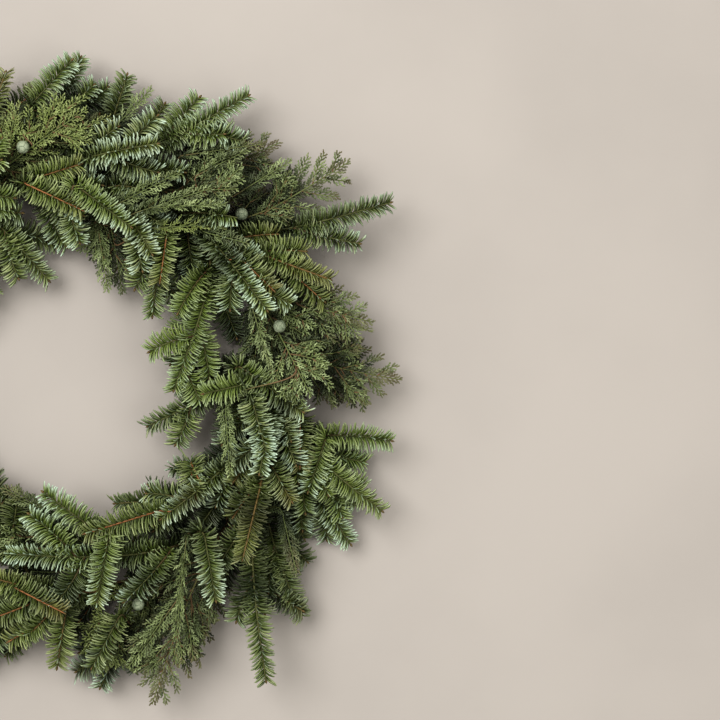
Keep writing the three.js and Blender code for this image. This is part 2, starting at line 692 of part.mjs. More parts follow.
// Each cone is let down, or raised, until it is a gap away from its stem's skin
CONES.forEach((cone, i) => {
  const { seat, lift } = coneSeat(branches, cone);
  const { skin } = branches[cone[0]].grown;
  for (let k = 0; k < 9; k++)
    seat.addScaledVector(lift, CONE_RADIUS + GAP - skin.nearestTo(seat).distanceTo(seat));
  const down = skin.nearestTo(seat).sub(seat).normalize();
  const name = "cone_" + String(i + 1).padStart(2, "0");
  place(coneGeometry(down), name, CONE_BLUE, 0.8).position.copy(seat);
  const reach = CONE_RADIUS + GAP;
  addRod(seat, seat.clone().addScaledVector(lift, 0.01), reach, reach, "cone" + i, 0);
});

for (const m of branches) m.twigs = m.shoots.map((shoot, k) => growShoot(m, shoot, k + 1).slice(1));
const counts = { fir: 0, cedar: 0 };
for (const m of branches) {
  const random = seeded(100 + m.number);
  const clothe = m.kind === FIR ? needleTwig : sprayTwig;
  [m.grown.leafy, ...m.twigs].forEach((steps, k) => clothe(m.grown.skin, steps, m.number, k, random));
  const kind = m.branch.kind;
  counts[kind]++;
  const name = `${kind}_branch_${String(counts[kind]).padStart(2, "0")}`;
  place(m.grown.skin.geometry(), name, m.kind === FIR ? FIR_GREEN : CEDAR_GREEN, 0.7);
}

// The origin goes under the middle of the whole wreath's box
const box = new THREE.Box3().setFromObject(wreath, true);
const middle = box.getCenter(new THREE.Vector3());
wreath.position.set(-middle.x, -middle.y, -box.min.z);

export default wreath;
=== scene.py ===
"""A fresh evergreen wreath on its back: cut fir branches and flat cedar sprays in a steel clamp ring.

Each twig is laid by the model's rule and then dressed with needles or scale leaves, bark and buds. Lengths are
millimetres in the ring's own frame until a mesh is made, its middle at x = y = 0 and the surface at z = 0.
Angles are degrees, clock angles clockwise from +Y.
"""
import math

import bmesh
import bpy
import numpy as np
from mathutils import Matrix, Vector


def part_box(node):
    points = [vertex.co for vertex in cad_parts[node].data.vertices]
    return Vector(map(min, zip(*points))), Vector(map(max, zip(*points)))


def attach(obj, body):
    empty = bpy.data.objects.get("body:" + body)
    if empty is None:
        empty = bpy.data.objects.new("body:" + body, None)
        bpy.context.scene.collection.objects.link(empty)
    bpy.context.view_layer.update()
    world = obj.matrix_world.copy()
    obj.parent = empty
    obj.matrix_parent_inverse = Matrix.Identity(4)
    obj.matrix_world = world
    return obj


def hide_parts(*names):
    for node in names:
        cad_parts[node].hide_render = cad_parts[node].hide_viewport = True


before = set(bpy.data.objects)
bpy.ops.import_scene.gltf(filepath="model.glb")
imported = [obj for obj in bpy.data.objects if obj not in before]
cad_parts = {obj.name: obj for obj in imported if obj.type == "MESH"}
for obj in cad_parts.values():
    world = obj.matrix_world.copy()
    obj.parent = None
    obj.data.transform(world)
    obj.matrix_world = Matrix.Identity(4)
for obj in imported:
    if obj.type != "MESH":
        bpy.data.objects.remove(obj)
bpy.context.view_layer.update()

# The ring, as the model has it
RING_RADIUS = 200.0
ROD = 5.0
CLAMP_WIRE = 3.0
CLAMP_PITCH = 18
WELD = 0.5
SLOT = 4.6
SLOTS = 4
GAP = 0.3

# Where the twigs run, as the model has them
STEM = 1.6
TAIL = 14.0
HELD = 5.0
LEAD = 0.28
CREST = 0.42
PITCHES = {"fir": (8, 20, -6, 32, -18, 44), "cedar": (0, 12, -12, 24)}  # that a shoot tries, in turn
CEDAR = {"bare": 0.2, "step": 11.5}
SPRAY = 13.0
SIDE_SPRAY = {"first": 22, "grows": 9, "last": 10, "share": 0.5, "most": 42.0}
SPRAY_TURN = 46.0
LOW_SHOOT = {"place": 0.3, "turn": 40, "length": 0.33, "pitches": (34, 48, 20)}
BEND_BACK = 0.35
PITCH_KEPT = 0.5
CONE_RADIUS = 6.5
CONE_LEAN = 0.45
CONE_ROOM = 15.0
CURVE_STEPS = 49
CLEAR = 4.55
SAMPLE = 2.0
LIFT_STEP = 2.5
MOST_LIFT = 60
LEAST_SHOOT = 14.0
LOW_TWIG = 5.0
STEM_Z = ROD - WELD + CLAMP_WIRE + GAP + STEM
CLAMP_HALF = SLOTS * SLOT / 2 + CLAMP_WIRE / 2 + GAP
CLAMP_RISE = STEM + CLAMP_WIRE / 2 + GAP

# Where the photo shows the ring's middle, in its own pixels, and the size of one there
PHOTO_CENTRE = (62, 383)
PHOTO_SIZE = 720
PIXEL = 0.94
CAMERA_HEIGHT = 1900.0
FOLIAGE_HEIGHT = 45.0  # where a pixel is that large


# The branches, as the model has them, each with the look of its foliage
def fir(clamp, tip, arch, *shoots, look="plain"):
    return {"kind": "fir", "clamp": clamp, "tip": tip, "arch": arch, "shoots": shoots, "look": look}


def cedar(clamp, tip, arch, look="cedar"):
    return {"kind": "cedar", "clamp": clamp, "tip": tip, "arch": arch, "shoots": (), "look": look}


BRANCHES = (
    fir(-36, (349.5, 298, 38), 52, (0.55, -36, 52), look="olive"),
    cedar(-36, (6, 256, 66), 62, look="gold"),
    fir(-36, (351, 98, 26), 46, (0.5, 34, 48)),
    fir(-18, (3, 308, 34), 50, (0.6, 34, 44), look="frost"),
    fir(-18, (8, 158, 62), 60, (0.42, 30, 56), look="frost"),
    fir(-18, (23, 240, 82), 78, (0.5, -34, 50), look="blue"),
    fir(0, (11.5, 298, 30), 40),
    fir(0, (33, 322, 46), 58, (0.5, -30, 58), (0.62, 36, 40), look="frost"),
    fir(0, (36, 148, 66), 62, (0.5, -28, 48), look="blue"),
    cedar(0, (33, 100, 24), 40),
    cedar(18, (43, 246, 74), 60),
    cedar(18, (42, 306, 34), 46, look="brown"),
    fir(18, (71, 206, 88), 84, (0.52, -26, 52), look="frost"),
    fir(18, (53.5, 105, 40), 58, (0.55, 36, 42)),
    cedar(36, (52.4, 342, 44), 60, look="brown"),
    fir(36, (61.3, 352, 52), 60, (0.52, 28, 66), look="dusk"),
    fir(36, (69, 270, 56), 70, (0.5, -28, 48), look="olive"),
    fir(36, (93.6, 106, 52), 68, (0.7, 62, 44), look="bright"),
    cedar(54, (79, 298, 52), 58, look="brown"),
    cedar(54, (93, 236, 84), 80),
    cedar(72, (89.5, 320, 34), 46, look="brown"),
    fir(72, (114, 205, 80), 76, (0.5, -34, 46), look="blue"),
    fir(72, (117, 90, 38), 58, (0.72, -50, 40)),
    fir(90, (111.8, 324, 46), 58, (0.34, -62, 88), (0.42, 24, 48), look="bright"),
    fir(90, (119.6, 312, 20), 28, (0.58, -44, 50), look="frost"),
    fir(90, (133, 236, 90), 84, (0.55, 32, 44), look="olive"),
    fir(90, (143, 158, 66), 64, (0.5, -34, 44), look="frost"),
    fir(108, (134.8, 316, 26), 38, (0.55, 30, 44)),
    fir(108, (157, 124, 34), 52, (0.55, -36, 44)),
    fir(108, (145.3, 338, 58), 70, (0.55, 30, 46)),
    fir(126, (197, 166, 62), 72, (0.72, 50, 60), (0.68, -70, 56), look="mint"),
    cedar(126, (164.4, 314, 42), 58, look="brown"),
    cedar(144, (174, 264, 36), 44, look="gold"),
    fir(144, (173.5, 292, 22), 32, (0.55, 32, 40), look="blue"),
    fir(162, (201, 190, 76), 66, (0.45, -72, 58), (0.52, -42, 66), look="olive"),
    cedar(162, (210, 116, 34), 50),
    fir(180, (205, 300, 34), 46, (0.5, -34, 46)),
    fir(180, (216, 108, 34), 52, (0.55, 34, 40), look="dark"),
    cedar(198, (226, 306, 44), 56, look="brown"),
    fir(198, (238, 232, 78), 74, (0.5, -32, 48), look="bright"),
    fir(198, (231, 112, 34), 50, (0.55, 34, 40)),
    fir(216, (244, 318, 40), 54, (0.5, 32, 46), (0.62, -36, 42), look="frost"),
    cedar(216, (252, 104, 34), 50),
    fir(234, (262, 298, 36), 50, (0.55, -34, 44)),
    fir(234, (272, 216, 80), 76, (0.5, 32, 46), look="olive"),
    fir(252, (282, 318, 42), 56, (0.5, -34, 48), (0.62, 36, 42), look="dark"),
    cedar(252, (290, 250, 72), 66, look="gold"),
    cedar(270, (301, 310, 38), 50, look="brown"),
    fir(270, (310, 236, 78), 72, (0.5, -34, 48), look="blue"),
    fir(270, (306, 110, 36), 52, (0.55, 34, 42)),
    fir(288, (322, 300, 36), 52, (0.5, 34, 46), look="frost"),
    cedar(288, (326, 104, 32), 46),
    fir(306, (337, 318, 44), 58, (0.5, -32, 50)),
    fir(306, (346, 212, 80), 76, (0.5, -32, 46), look="bright"),
)
# Twigs that lie on top in the photo: kind, base and tip in the photo's pixels, height of the tip, look
TOP_TWIGS = (
    ("fir", 30, 106, 72, 60, 56, "frost"),
    ("fir", 26, 184, 84, 211, 66, "orange"),
    ("fir", 76, 185, 131, 227, 72, "mint"),
    ("fir", 24, 182, 81, 164, 58, "olive"),
    ("fir", 60, 143, 107, 150, 52, "olive"),
    ("cedar", 24, 134, 112, 118, 56, "gold"),
    ("cedar", 98, 145, 152, 88, 44, "cedar"),
    ("cedar", 140, 150, 206, 118, 50, "cedar"),
    ("cedar", 180, 156, 264, 144, 48, "brown"),
    ("cedar", 135, 213, 212, 188, 66, "cedar"),
    ("cedar", 150, 228, 236, 224, 62, "gold"),
    ("cedar", 234, 196, 292, 160, 56, "cedar"),
    ("fir", 167, 228, 160, 282, 66, "orange"),
    ("fir", 238, 256, 274, 291, 76, "orange"),
    ("fir", 242, 368, 303, 412, 70, "frost"),
    ("fir", 250, 392, 268, 458, 76, "blue"),
    ("fir", 246, 384, 203, 394, 74, "bright"),
    ("fir", 326, 438, 308, 492, 48, "mint"),
    ("fir", 300, 418, 300, 468, 50, "orange"),
    ("fir", 262, 448, 292, 502, 66, "olive"),
    ("fir", 205, 538, 216, 601, 74, "frost"),
    ("fir", 98, 532, 43, 492, 66, "mint"),
    ("fir", 158, 511, 84, 534, 72, "orange"),
    ("fir", 109, 534, 97, 603, 78, "mint"),
    ("fir", 2, 581, 64, 613, 72, "orange"),
    ("fir", 66, 610, 57, 668, 56, "olive"),
    ("fir", 46, 620, 8, 642, 54, "olive"),
    ("cedar", 187, 536, 176, 640, 60, "cedar"),
    ("cedar", 180, 596, 128, 668, 54, "cedar"),
    ("cedar", 192, 600, 200, 668, 44, "brown"),
    ("cedar", 98, 640, 138, 674, 40, "gold"),
    ("fir", 268, 590, 303, 611, 36, "dark"),
    ("cedar", 282, 512, 297, 574, 50, "brown"),
    ("cedar", 320, 368, 334, 407, 40, "brown"),
    ("cedar", 296, 304, 373, 332, 52, "brown"),
    ("cedar", 226, 408, 230, 476, 62, "cedar"),
    ("cedar", 250, 300, 272, 372, 72, "cedar"),
    ("fir", 120, 616, 92, 668, 50, "plain"),
    ("fir", 190, 462, 196, 500, 58, "orange"),
    ("cedar", 52, 514, 2, 487, 52, "brown"),
    ("cedar", 118, 204, 180, 172, 66, "cedar"),
    ("cedar", 152, 208, 226, 204, 79, "cedar"),
    ("cedar", 98, 226, 108, 292, 42, "cedar"),
    ("cedar", 196, 176, 248, 150, 56, "cedar"),
    ("cedar", 205, 232, 250, 244, 78, "cedar"),
    # beside the photo's edge, where the wreath's inside would be thin
    ("fir", -128, 446, -58, 410, 40, "olive"),
    ("fir", -130, 424, -66, 376, 48, "plain"),
    ("cedar", -124, 436, -54, 428, 36, "cedar"),
)
# The cones: (place of the cedar in BRANCHES, place along its stem, side)
CONES = ((1, 0.58, -1), (14, 0.28, -1), (19, 0.5, -1), (32, 0.48, -1), (46, 0.5, -1))

# What a look says of a twig, from 0 to 1: how fresh its green is, how much bloom and brown its leaves have
# towards its tip, how dark they are, and how orange its bark is
LOOK_MARKS = ("fresh", "frost", "brown", "dark", "orange")
LOOKS = {
    "plain": (0.35, 0.25, 0.0, 0.15, 0.3),
    "olive": (0.5, 0.1, 0.2, 0.05, 0.6),
    "orange": (0.5, 0.1, 0.25, 0.0, 1.0),
    "bright": (0.95, 0.3, 0.0, 0.0, 0.2),
    "mint": (0.75, 0.85, 0.0, 0.0, 0.2),
    "dusk": (0.15, 0.55, 0.1, 0.3, 0.3),
    "dark": (0.2, 0.2, 0.1, 0.55, 0.3),
    "frost": (0.45, 0.8, 0.0, 0.0, 0.2),
    "blue": (0.2, 1.0, 0.0, 0.05, 0.2),
    "cedar": (0.3, 0.2, 0.1, 0.0, 0.0),
    "gold": (0.95, 0.0, 0.2, 0.0, 0.2),
    "brown": (0.2, 0.1, 0.65, 0.2, 0.3),
}

UP = np.array((0.0, 0.0, 1.0))


def clock_point(clock, radius, z):
    angle = math.radians(clock)
    return np.array((radius * math.sin(angle), radius * math.cos(angle), z))


def heading(clock, pitch=0.0):
    rise = math.radians(pitch)
    return clock_point(clock, math.cos(rise), math.sin(rise))


def clock_of(v):
    return math.degrees(math.atan2(v[0], v[1]))


def pitch_of(v):
    return math.degrees(math.asin(v[2] / np.linalg.norm(v)))


def nearest_whole(x):
    return math.floor(x + 0.5)


def unit(v):
    return v / np.maximum(np.linalg.norm(v, axis=-1, keepdims=True), 1e-9)


# ---- Where the twigs run


def distances(line):
    """How far each point of a line lies along it."""
    return np.concatenate(([0.0], np.cumsum(np.linalg.norm(np.diff(line, axis=0), axis=1))))


def length_of(line):
    return np.linalg.norm(np.diff(line, axis=0), axis=1).sum()


def respaced(points, spacing):
    """Points at an even spacing along a line of points."""
    points = np.asarray(points)
    at = distances(points)
    steps = max(1, nearest_whole(at[-1] / spacing))
    along = np.linspace(0.0, at[-1], steps + 1)
    return np.column_stack([np.interp(along, at, points[:, k]) for k in range(3)])


def bezier(a, b, c, d, count):
    t = np.linspace(0.0, 1.0, count)[:, None]
    s = 1 - t
    return a * s**3 + 3 * b * t * s**2 + 3 * c * t**2 * s + d * t**3


def branch_line(branch, lift):
    clock, radius, height = branch["tip"]
    along = heading(branch["clamp"] + 90)
    start = clock_point(branch["clamp"], RING_RADIUS + branch["slot"], STEM_Z) + along * HELD
    tip = clock_point(clock, radius, height + lift)
    lead = start + along * LEAD * np.linalg.norm(tip - start)
    crest = lead + (tip - lead) * CREST
    crest[2] = branch["arch"] + lift
    return respaced(bezier(start, lead, crest, tip, CURVE_STEPS), SAMPLE)


def shoot_line(start, parent_clock, turn, pitch, length):
    points = [start]
    steps = nearest_whole(length / SAMPLE)
    for i in range(steps):
        way = heading(parent_clock + turn * (1 - BEND_BACK * i / steps), pitch * (1 - i / steps))
        points.append(points[-1] + way * SAMPLE)
    return np.array(points)


class Room:
    """The points of all that is laid so far, each with its owner and the room that it needs."""

    def __init__(self):
        self.points = np.zeros((0, 3))
        self.owners = np.zeros(0, int)
        self.needs = np.zeros(0)

    def lay(self, points, owner, need=CLEAR):
        points = np.atleast_2d(points)
        self.points = np.concatenate((self.points, points))
        self.owners = np.concatenate((self.owners, np.full(len(points), owner)))
        self.needs = np.concatenate((self.needs, np.full(len(points), float(need))))

    def clear_run(self, line, owners, start=0, share=1.0):
        """How many points of a line stay clear of all that others own."""
        reach = self.needs.max()
        low = line[start:].min(axis=0) - reach
        high = line[start:].max(axis=0) + reach
        near = ((self.points > low) & (self.points < high)).all(axis=1) & ~np.isin(self.owners, owners)
        if not near.any():
            return len(line)
        away = np.linalg.norm(line[start:, None] - self.points[near][None], axis=2)
        hit = (away < self.needs[near] * share).any(axis=1)
        return start + int(hit.argmax()) if hit.any() else len(line)


# The owners of points are the branches' numbers, and for clamps and cones
CLAMP_OWNER = 1000
CONE_OWNER = 2000


def clamp_loop(clock):
    corners = ((-1, -1), (-1, 1), (1, 1), (1, -1))
    return [clock_point(clock, RING_RADIUS + a * CLAMP_HALF, STEM_Z + b * CLAMP_RISE) for a, b in corners]


def turn_out(row):
    way = clock_point(row["tip"][0], row["tip"][1], 0) - clock_point(row["clamp"], RING_RADIUS, 0)
    return math.atan2(way @ heading(row["clamp"]), way @ heading(row["clamp"] + 90))


def slot_of(row):
    """Where a stem lies across its clamp: those that turn out the most lie outermost."""
    mates = sorted((other for other in BRANCHES if other["clamp"] == row["clamp"]), key=turn_out)
    return SLOT * ([other is row for other in mates].index(True) - (len(mates) - 1) / 2)


def lay_shoot(room, main, owner, shoot, pitches, kept=PITCH_KEPT, share=1.0, least=LEAST_SHOOT, inside=None):
    """Lays a shoot at the first pitch that is clear, or cut short where none is."""
    place, turn, length = shoot
    at = nearest_whole(place * (len(main) - 1))
    way = main[min(at + 2, len(main) - 1)] - main[max(at - 2, 0)]
    best = main[:0]
    for pitch in pitches:
        line = shoot_line(main[at], clock_of(way), turn, pitch_of(way) * kept + pitch, length)
        low = line[:, 2] < LOW_TWIG
        run = min(room.clear_run(line, [owner], share=share), int(low.argmax()) if low.any() else len(line))
        if inside is not None:
            run = min(run, inside(line))
        if run > len(best):
            best = line[:run]
        if run == len(line):
            break
    if len(best) * SAMPLE < least:
        return None
    room.lay(best, owner)
    return {"line": best}


def cedar_sprays(branch):
    """A cedar's side sprays, in turn to either side, but none at its cone."""
    length = (len(branch["line"]) - 1) * SAMPLE
    count = math.floor((length * (1 - CEDAR["bare"]) - SPRAY / 2) / CEDAR["step"])
    cone = [c for c in CONES if c[0] == branch["number"]]
    sprays = []
    for i in range(count):
        along = length * CEDAR["bare"] + i * CEDAR["step"]
        early = SIDE_SPRAY["first"] + i * SIDE_SPRAY["grows"]
        late = SIDE_SPRAY["last"] + SIDE_SPRAY["share"] * (length - along)
        if not cone or abs(along / length - cone[0][1]) * length > CONE_ROOM:
            turn = SPRAY_TURN if i % 2 else -SPRAY_TURN
            sprays.append((along / length, turn, min(SIDE_SPRAY["most"], early, late)))
    return sprays


def low_shoot(branch):
    turn = LOW_SHOOT["turn"] if branch["number"] % 2 else -LOW_SHOOT["turn"]
    return (LOW_SHOOT["place"], turn, LOW_SHOOT["length"] * (len(branch["line"]) - 1) * SAMPLE)


def cone_seat(branches, cone):
    number, place, side = cone
    line = branches[number]["line"]
    at = nearest_whole(place * (len(line) - 1))
    right = unit(np.cross(line[at + 1] - line[at - 1], UP))
    lift = unit(right * side * CONE_LEAN + UP)
    return line[at] + lift * (CONE_RADIUS + STEM + GAP)


def lay_branches(room):
    """The stems, cones and shoots that the model has, laid in its order."""
    for clock in range(0, 360, CLAMP_PITCH):
        loop = clamp_loop(clock)
        for i in range(4):
            room.lay(respaced([loop[i], loop[(i + 1) % 4]], SAMPLE), CLAMP_OWNER + clock)
    branches = []
    for number, row in enumerate(BRANCHES):
        slot = slot_of(row)
        held = clock_point(row["clamp"], RING_RADIUS + slot, STEM_Z)
        tail = held + heading(row["clamp"] - 90) * TAIL
        front = held + heading(row["clamp"] + 90) * HELD
        room.lay(respaced([tail, front], SAMPLE), number)
        branches.append({**row, "number": number, "slot": slot, "tail": tail})
    for branch in branches:
        own = [branch["number"], CLAMP_OWNER + branch["clamp"] % 360]
        for lift in np.arange(0, MOST_LIFT, LIFT_STEP):
            branch["line"] = branch_line(branch, lift)
            if room.clear_run(branch["line"], own, 1) == len(branch["line"]):
                break
        room.lay(branch["line"], branch["number"])
    for i, cone in enumerate(CONES):
        room.lay(cone_seat(branches, cone), CONE_OWNER + i, CLEAR + CONE_RADIUS + 1)
    for branch in branches:
        wanted = branch["shoots"] if branch["kind"] == "fir" else cedar_sprays(branch)
        here = (room, branch["line"], branch["number"])
        branch["shoots"] = [lay_shoot(*here, shoot, PITCHES[branch["kind"]]) for shoot in wanted]
    for branch in branches:
        if branch["kind"] == "fir":
            here = (room, branch["line"], branch["number"])
            branch["shoots"].append(lay_shoot(*here, low_shoot(branch), LOW_SHOOT["pitches"]))
        branch["shoots"] = [shoot for shoot in branch["shoots"] if shoot]
    return branches


# ---- More twigs, which only the finished wreath has

# The wreath's body, without the tips that stand out of it: (clock angle, inner radius, outer radius)
BODY = (
    (0, 122, 290), (20, 112, 288), (40, 112, 292), (49, 112, 300), (56, 112, 266), (63, 108, 258),
    (70, 104, 274), (80, 96, 290), (90, 100, 292), (110, 104, 306), (130, 124, 290), (145, 116, 300),
    (160, 118, 292), (180, 108, 284), (215, 110, 292), (240, 112, 300), (270, 108, 292), (300, 112, 296),
    (330, 110, 290),
)
BODY_EDGE = 6.0  # how far inside those radii an added twig ends
FREE_POINTS = 2  # the first points of a twig, which may lie outside


def body_edges(clock):
    clocks, *edges = zip(*BODY)
    return [np.interp(clock % 360, clocks, edge, period=360) for edge in edges]


# Where the photo shows deep hollows between the twigs, in its pixels
HOLLOWS = ((220, 257), (67, 581), (46, 575), (140, 570), (207, 507), (259, 503), (243, 572), (228, 330))
HOLLOW_ROOM = 18.0
HOLLOW_FLOOR = 18.0  # the height below which twigs pass under them


def in_body(line):
    """How many points of a line stay inside the wreath's body, below its top and off cones and hollows."""
    for i, p in enumerate(line):
        inner, outer = body_edges(clock_of(p))
        over = any(p[2] > c[2] - CONE_DROP and math.dist(p[:2], c[:2]) < CONE_VIEW for c in cone_middles)
        over = over or p[2] > HOLLOW_FLOOR and any(math.dist(p[:2], h) < HOLLOW_ROOM for h in hollow_middles)
        aside = not inner + BODY_EDGE < math.hypot(p[0], p[1]) < outer - BODY_EDGE
        if i > FREE_POINTS and (over or aside or p[2] > FILL_TOP):
            return i
    return len(line)


# The added twigs of firs, of cedars and of the cedars' twigs: their distance along the stem, turn, length
# (least, share of the stem left, most), share of the stem's pitch, and the pitches that they try
FILL = {
    "fir": (22, 44, (30, 0.5, 66), 0, (-8, -20, 4, -34)),
    "cedar": (8, 42, (22, 0.5, 62), 0.5, (14, 0, 28, -16)),
    "twiglet": (11, 40, (12, 0.4, 26), 0.5, (6, -10, 20, -24)),
}
FILL_FROM = 0.12
FILL_TO = 0.88
FILL_TOP = 80.0
STEP_SPREAD = (0.75, 1.25)
REACH_SPREAD = (0.6, 1.0)
TURN_SPREAD = (0.6, 1.35)
CONE_RIM = 3.0  # round a cone, free of leaves above it
CONE_VIEW = 17.0  # from a cone to the twigs that would hide it
CONE_DROP = 6.0  # twigs this far below its middle don't hide it
FILL_SHARE = 0.7  # how close the fine twigs may come, as a share of CLEAR
LEAST_FILL = 12.0


def fill_shoots(room, line, number, rule, random):
    """More side twigs along a line, in turn to either side, within the wreath's body."""
    step, turn, (least, part, most), kept, pitches = rule
    length = (len(line) - 1) * SAMPLE
    along = FILL_FROM * length + step * random.random()
    side = random.choice((-1, 1))
    made = []
    while along < FILL_TO * length:
        reach = least + part * (length - along) * random.uniform(*REACH_SPREAD)
        aside = side * turn * random.uniform(*TURN_SPREAD)
        tried = np.roll(pitches, random.integers(0, 2))
        shoot = (along / length, aside, min(most, reach))
        made.append(lay_shoot(room, line, number, shoot, tried, kept, FILL_SHARE, LEAST_FILL, in_body))
        along += step * random.uniform(*STEP_SPREAD)
        side = -side
    return [shoot for shoot in made if shoot]


def seen_at(pixel, height):
    """Where a pixel of the photo lies, at a height."""
    scale = PIXEL * (CAMERA_HEIGHT - height) / (CAMERA_HEIGHT - FOLIAGE_HEIGHT)
    middle = PHOTO_SIZE / 2
    across = (middle - PHOTO_CENTRE[0]) * PIXEL + (pixel[0] - middle) * scale
    upwards = (PHOTO_CENTRE[1] - middle) * PIXEL + (middle - pixel[1]) * scale
    return np.array((across, upwards, height))


# Of the twigs on top
FOOT_DROP = 8  # from the tip's height to the foot's
STEM_ENDS = (8, 6)  # the points at either end of a stem where none grow
HEIGHT_COUNTS = 0.6  # of a difference in height, as the nearest stem is sought
TOP_LIFTS = (0, 4, -4, 8, -8, 12, -12)
TOP_POINTS = 13
TOP_ARCH = 5
TOP_BARE = 0.6  # of the part before the foot, but for its end
CLOTHED_END = 6
LEAST_BARE = 3.0


def lay_top_twig(room, branches, twig):
    """A twig that grows from the nearest stem of its kind and lies where the photo shows it."""
    kind, *pixels, height, look = twig
    tip = pixels[2:]
    foot = seen_at(pixels[:2], height - FOOT_DROP)
    same = [branch for branch in branches if branch["kind"] == kind]
    first, last = STEM_ENDS
    stems = [(branch, i) for branch in same for i in range(first, len(branch["line"]) - last, 2)]
    gaps = [np.linalg.norm((branch["line"][i] - foot) * (1, 1, HEIGHT_COUNTS)) for branch, i in stems]
    branch, at = stems[int(np.argmin(gaps))]
    root = branch["line"][at]
    ahead = (branch["line"][at + 2] - root) / (2 * SAMPLE)
    longest = -1
    for lift in TOP_LIFTS:
        end = seen_at(tip, min(height + lift, FILL_TOP))
        knee = foot + (0, 0, end[2] - height)
        back = np.linalg.norm(knee - root) / 3
        rise = root + ahead * back + UP * back / 2
        inner = bezier(root, rise, knee - unit(end - knee) * back, knee, TOP_POINTS)
        t = np.linspace(0.0, 1.0, TOP_POINTS)[:, None]
        outer = knee + (end - knee) * t + UP * (TOP_ARCH * t * (1 - t))
        tried = respaced(np.concatenate((inner, outer[1:])), SAMPLE)
        run = room.clear_run(tried, [branch["number"]], 2, FILL_SHARE)
        if run > longest:
            longest, line = run, tried
        if run == len(tried):
            break
    room.lay(line, branch["number"])
    bare = length_of(line) - np.linalg.norm(seen_at(tip, height) - foot) - CLOTHED_END
    return branch, {"line": line, "look": look, "bare": max(LEAST_BARE, TOP_BARE * bare)}


# ---- Meshes


# The outlines of blades: (share of the length, share of the width)
NEEDLE_SHAPE = ((0.0, 0.45), (0.12, 0.8), (0.42, 1.0), (0.82, 0.86), (0.95, 0.52))
BUD_SHAPE = ((0.0, 0.5), (0.3, 1.0), (0.65, 0.8))
SCALE_SHAPE = ((0.0, 0.7), (0.22, 1.0), (0.38, 0.72), (0.58, 1.0), (0.74, 0.68), (0.88, 0.75))
SPRIG_SHAPE = ((0.0, 0.7), (0.35, 1.0), (0.6, 0.75), (0.82, 0.7))
MARKS = ("along", "under", "shade", *LOOK_MARKS)
LEAF, BARK = 0, 1
LEAF_FLOOR = 1.8  # the lowest that a leaf's middle lies: it bends where it meets the surface
WOOD_SPACING = 4.0  # from ring to ring of a twig's wood
WOOD_END = 0.98  # the share of a twig's length at which its last ring is marked, for its point comes after
MAP_EDGE = 0.1  # round a strand's square in the map, as a share of it
CAP_LONG, CAP_WIDE = 0.03, 0.1  # half the size of a strand's cap in the map


def picked(marks, rows):
    return {mark: value[rows] if np.ndim(value) else value for mark, value in marks.items()}


def linked(name, data):
    thing = bpy.data.objects.new(name, data)
    bpy.context.scene.collection.objects.link(thing)
    return thing


def placed(mesh, *materials):
    """The object of a mesh, shaded smooth."""
    mesh.polygons.foreach_set("use_smooth", np.ones(len(mesh.polygons), bool))
    for material in materials:
        mesh.materials.append(material)
    return linked(mesh.name, mesh)


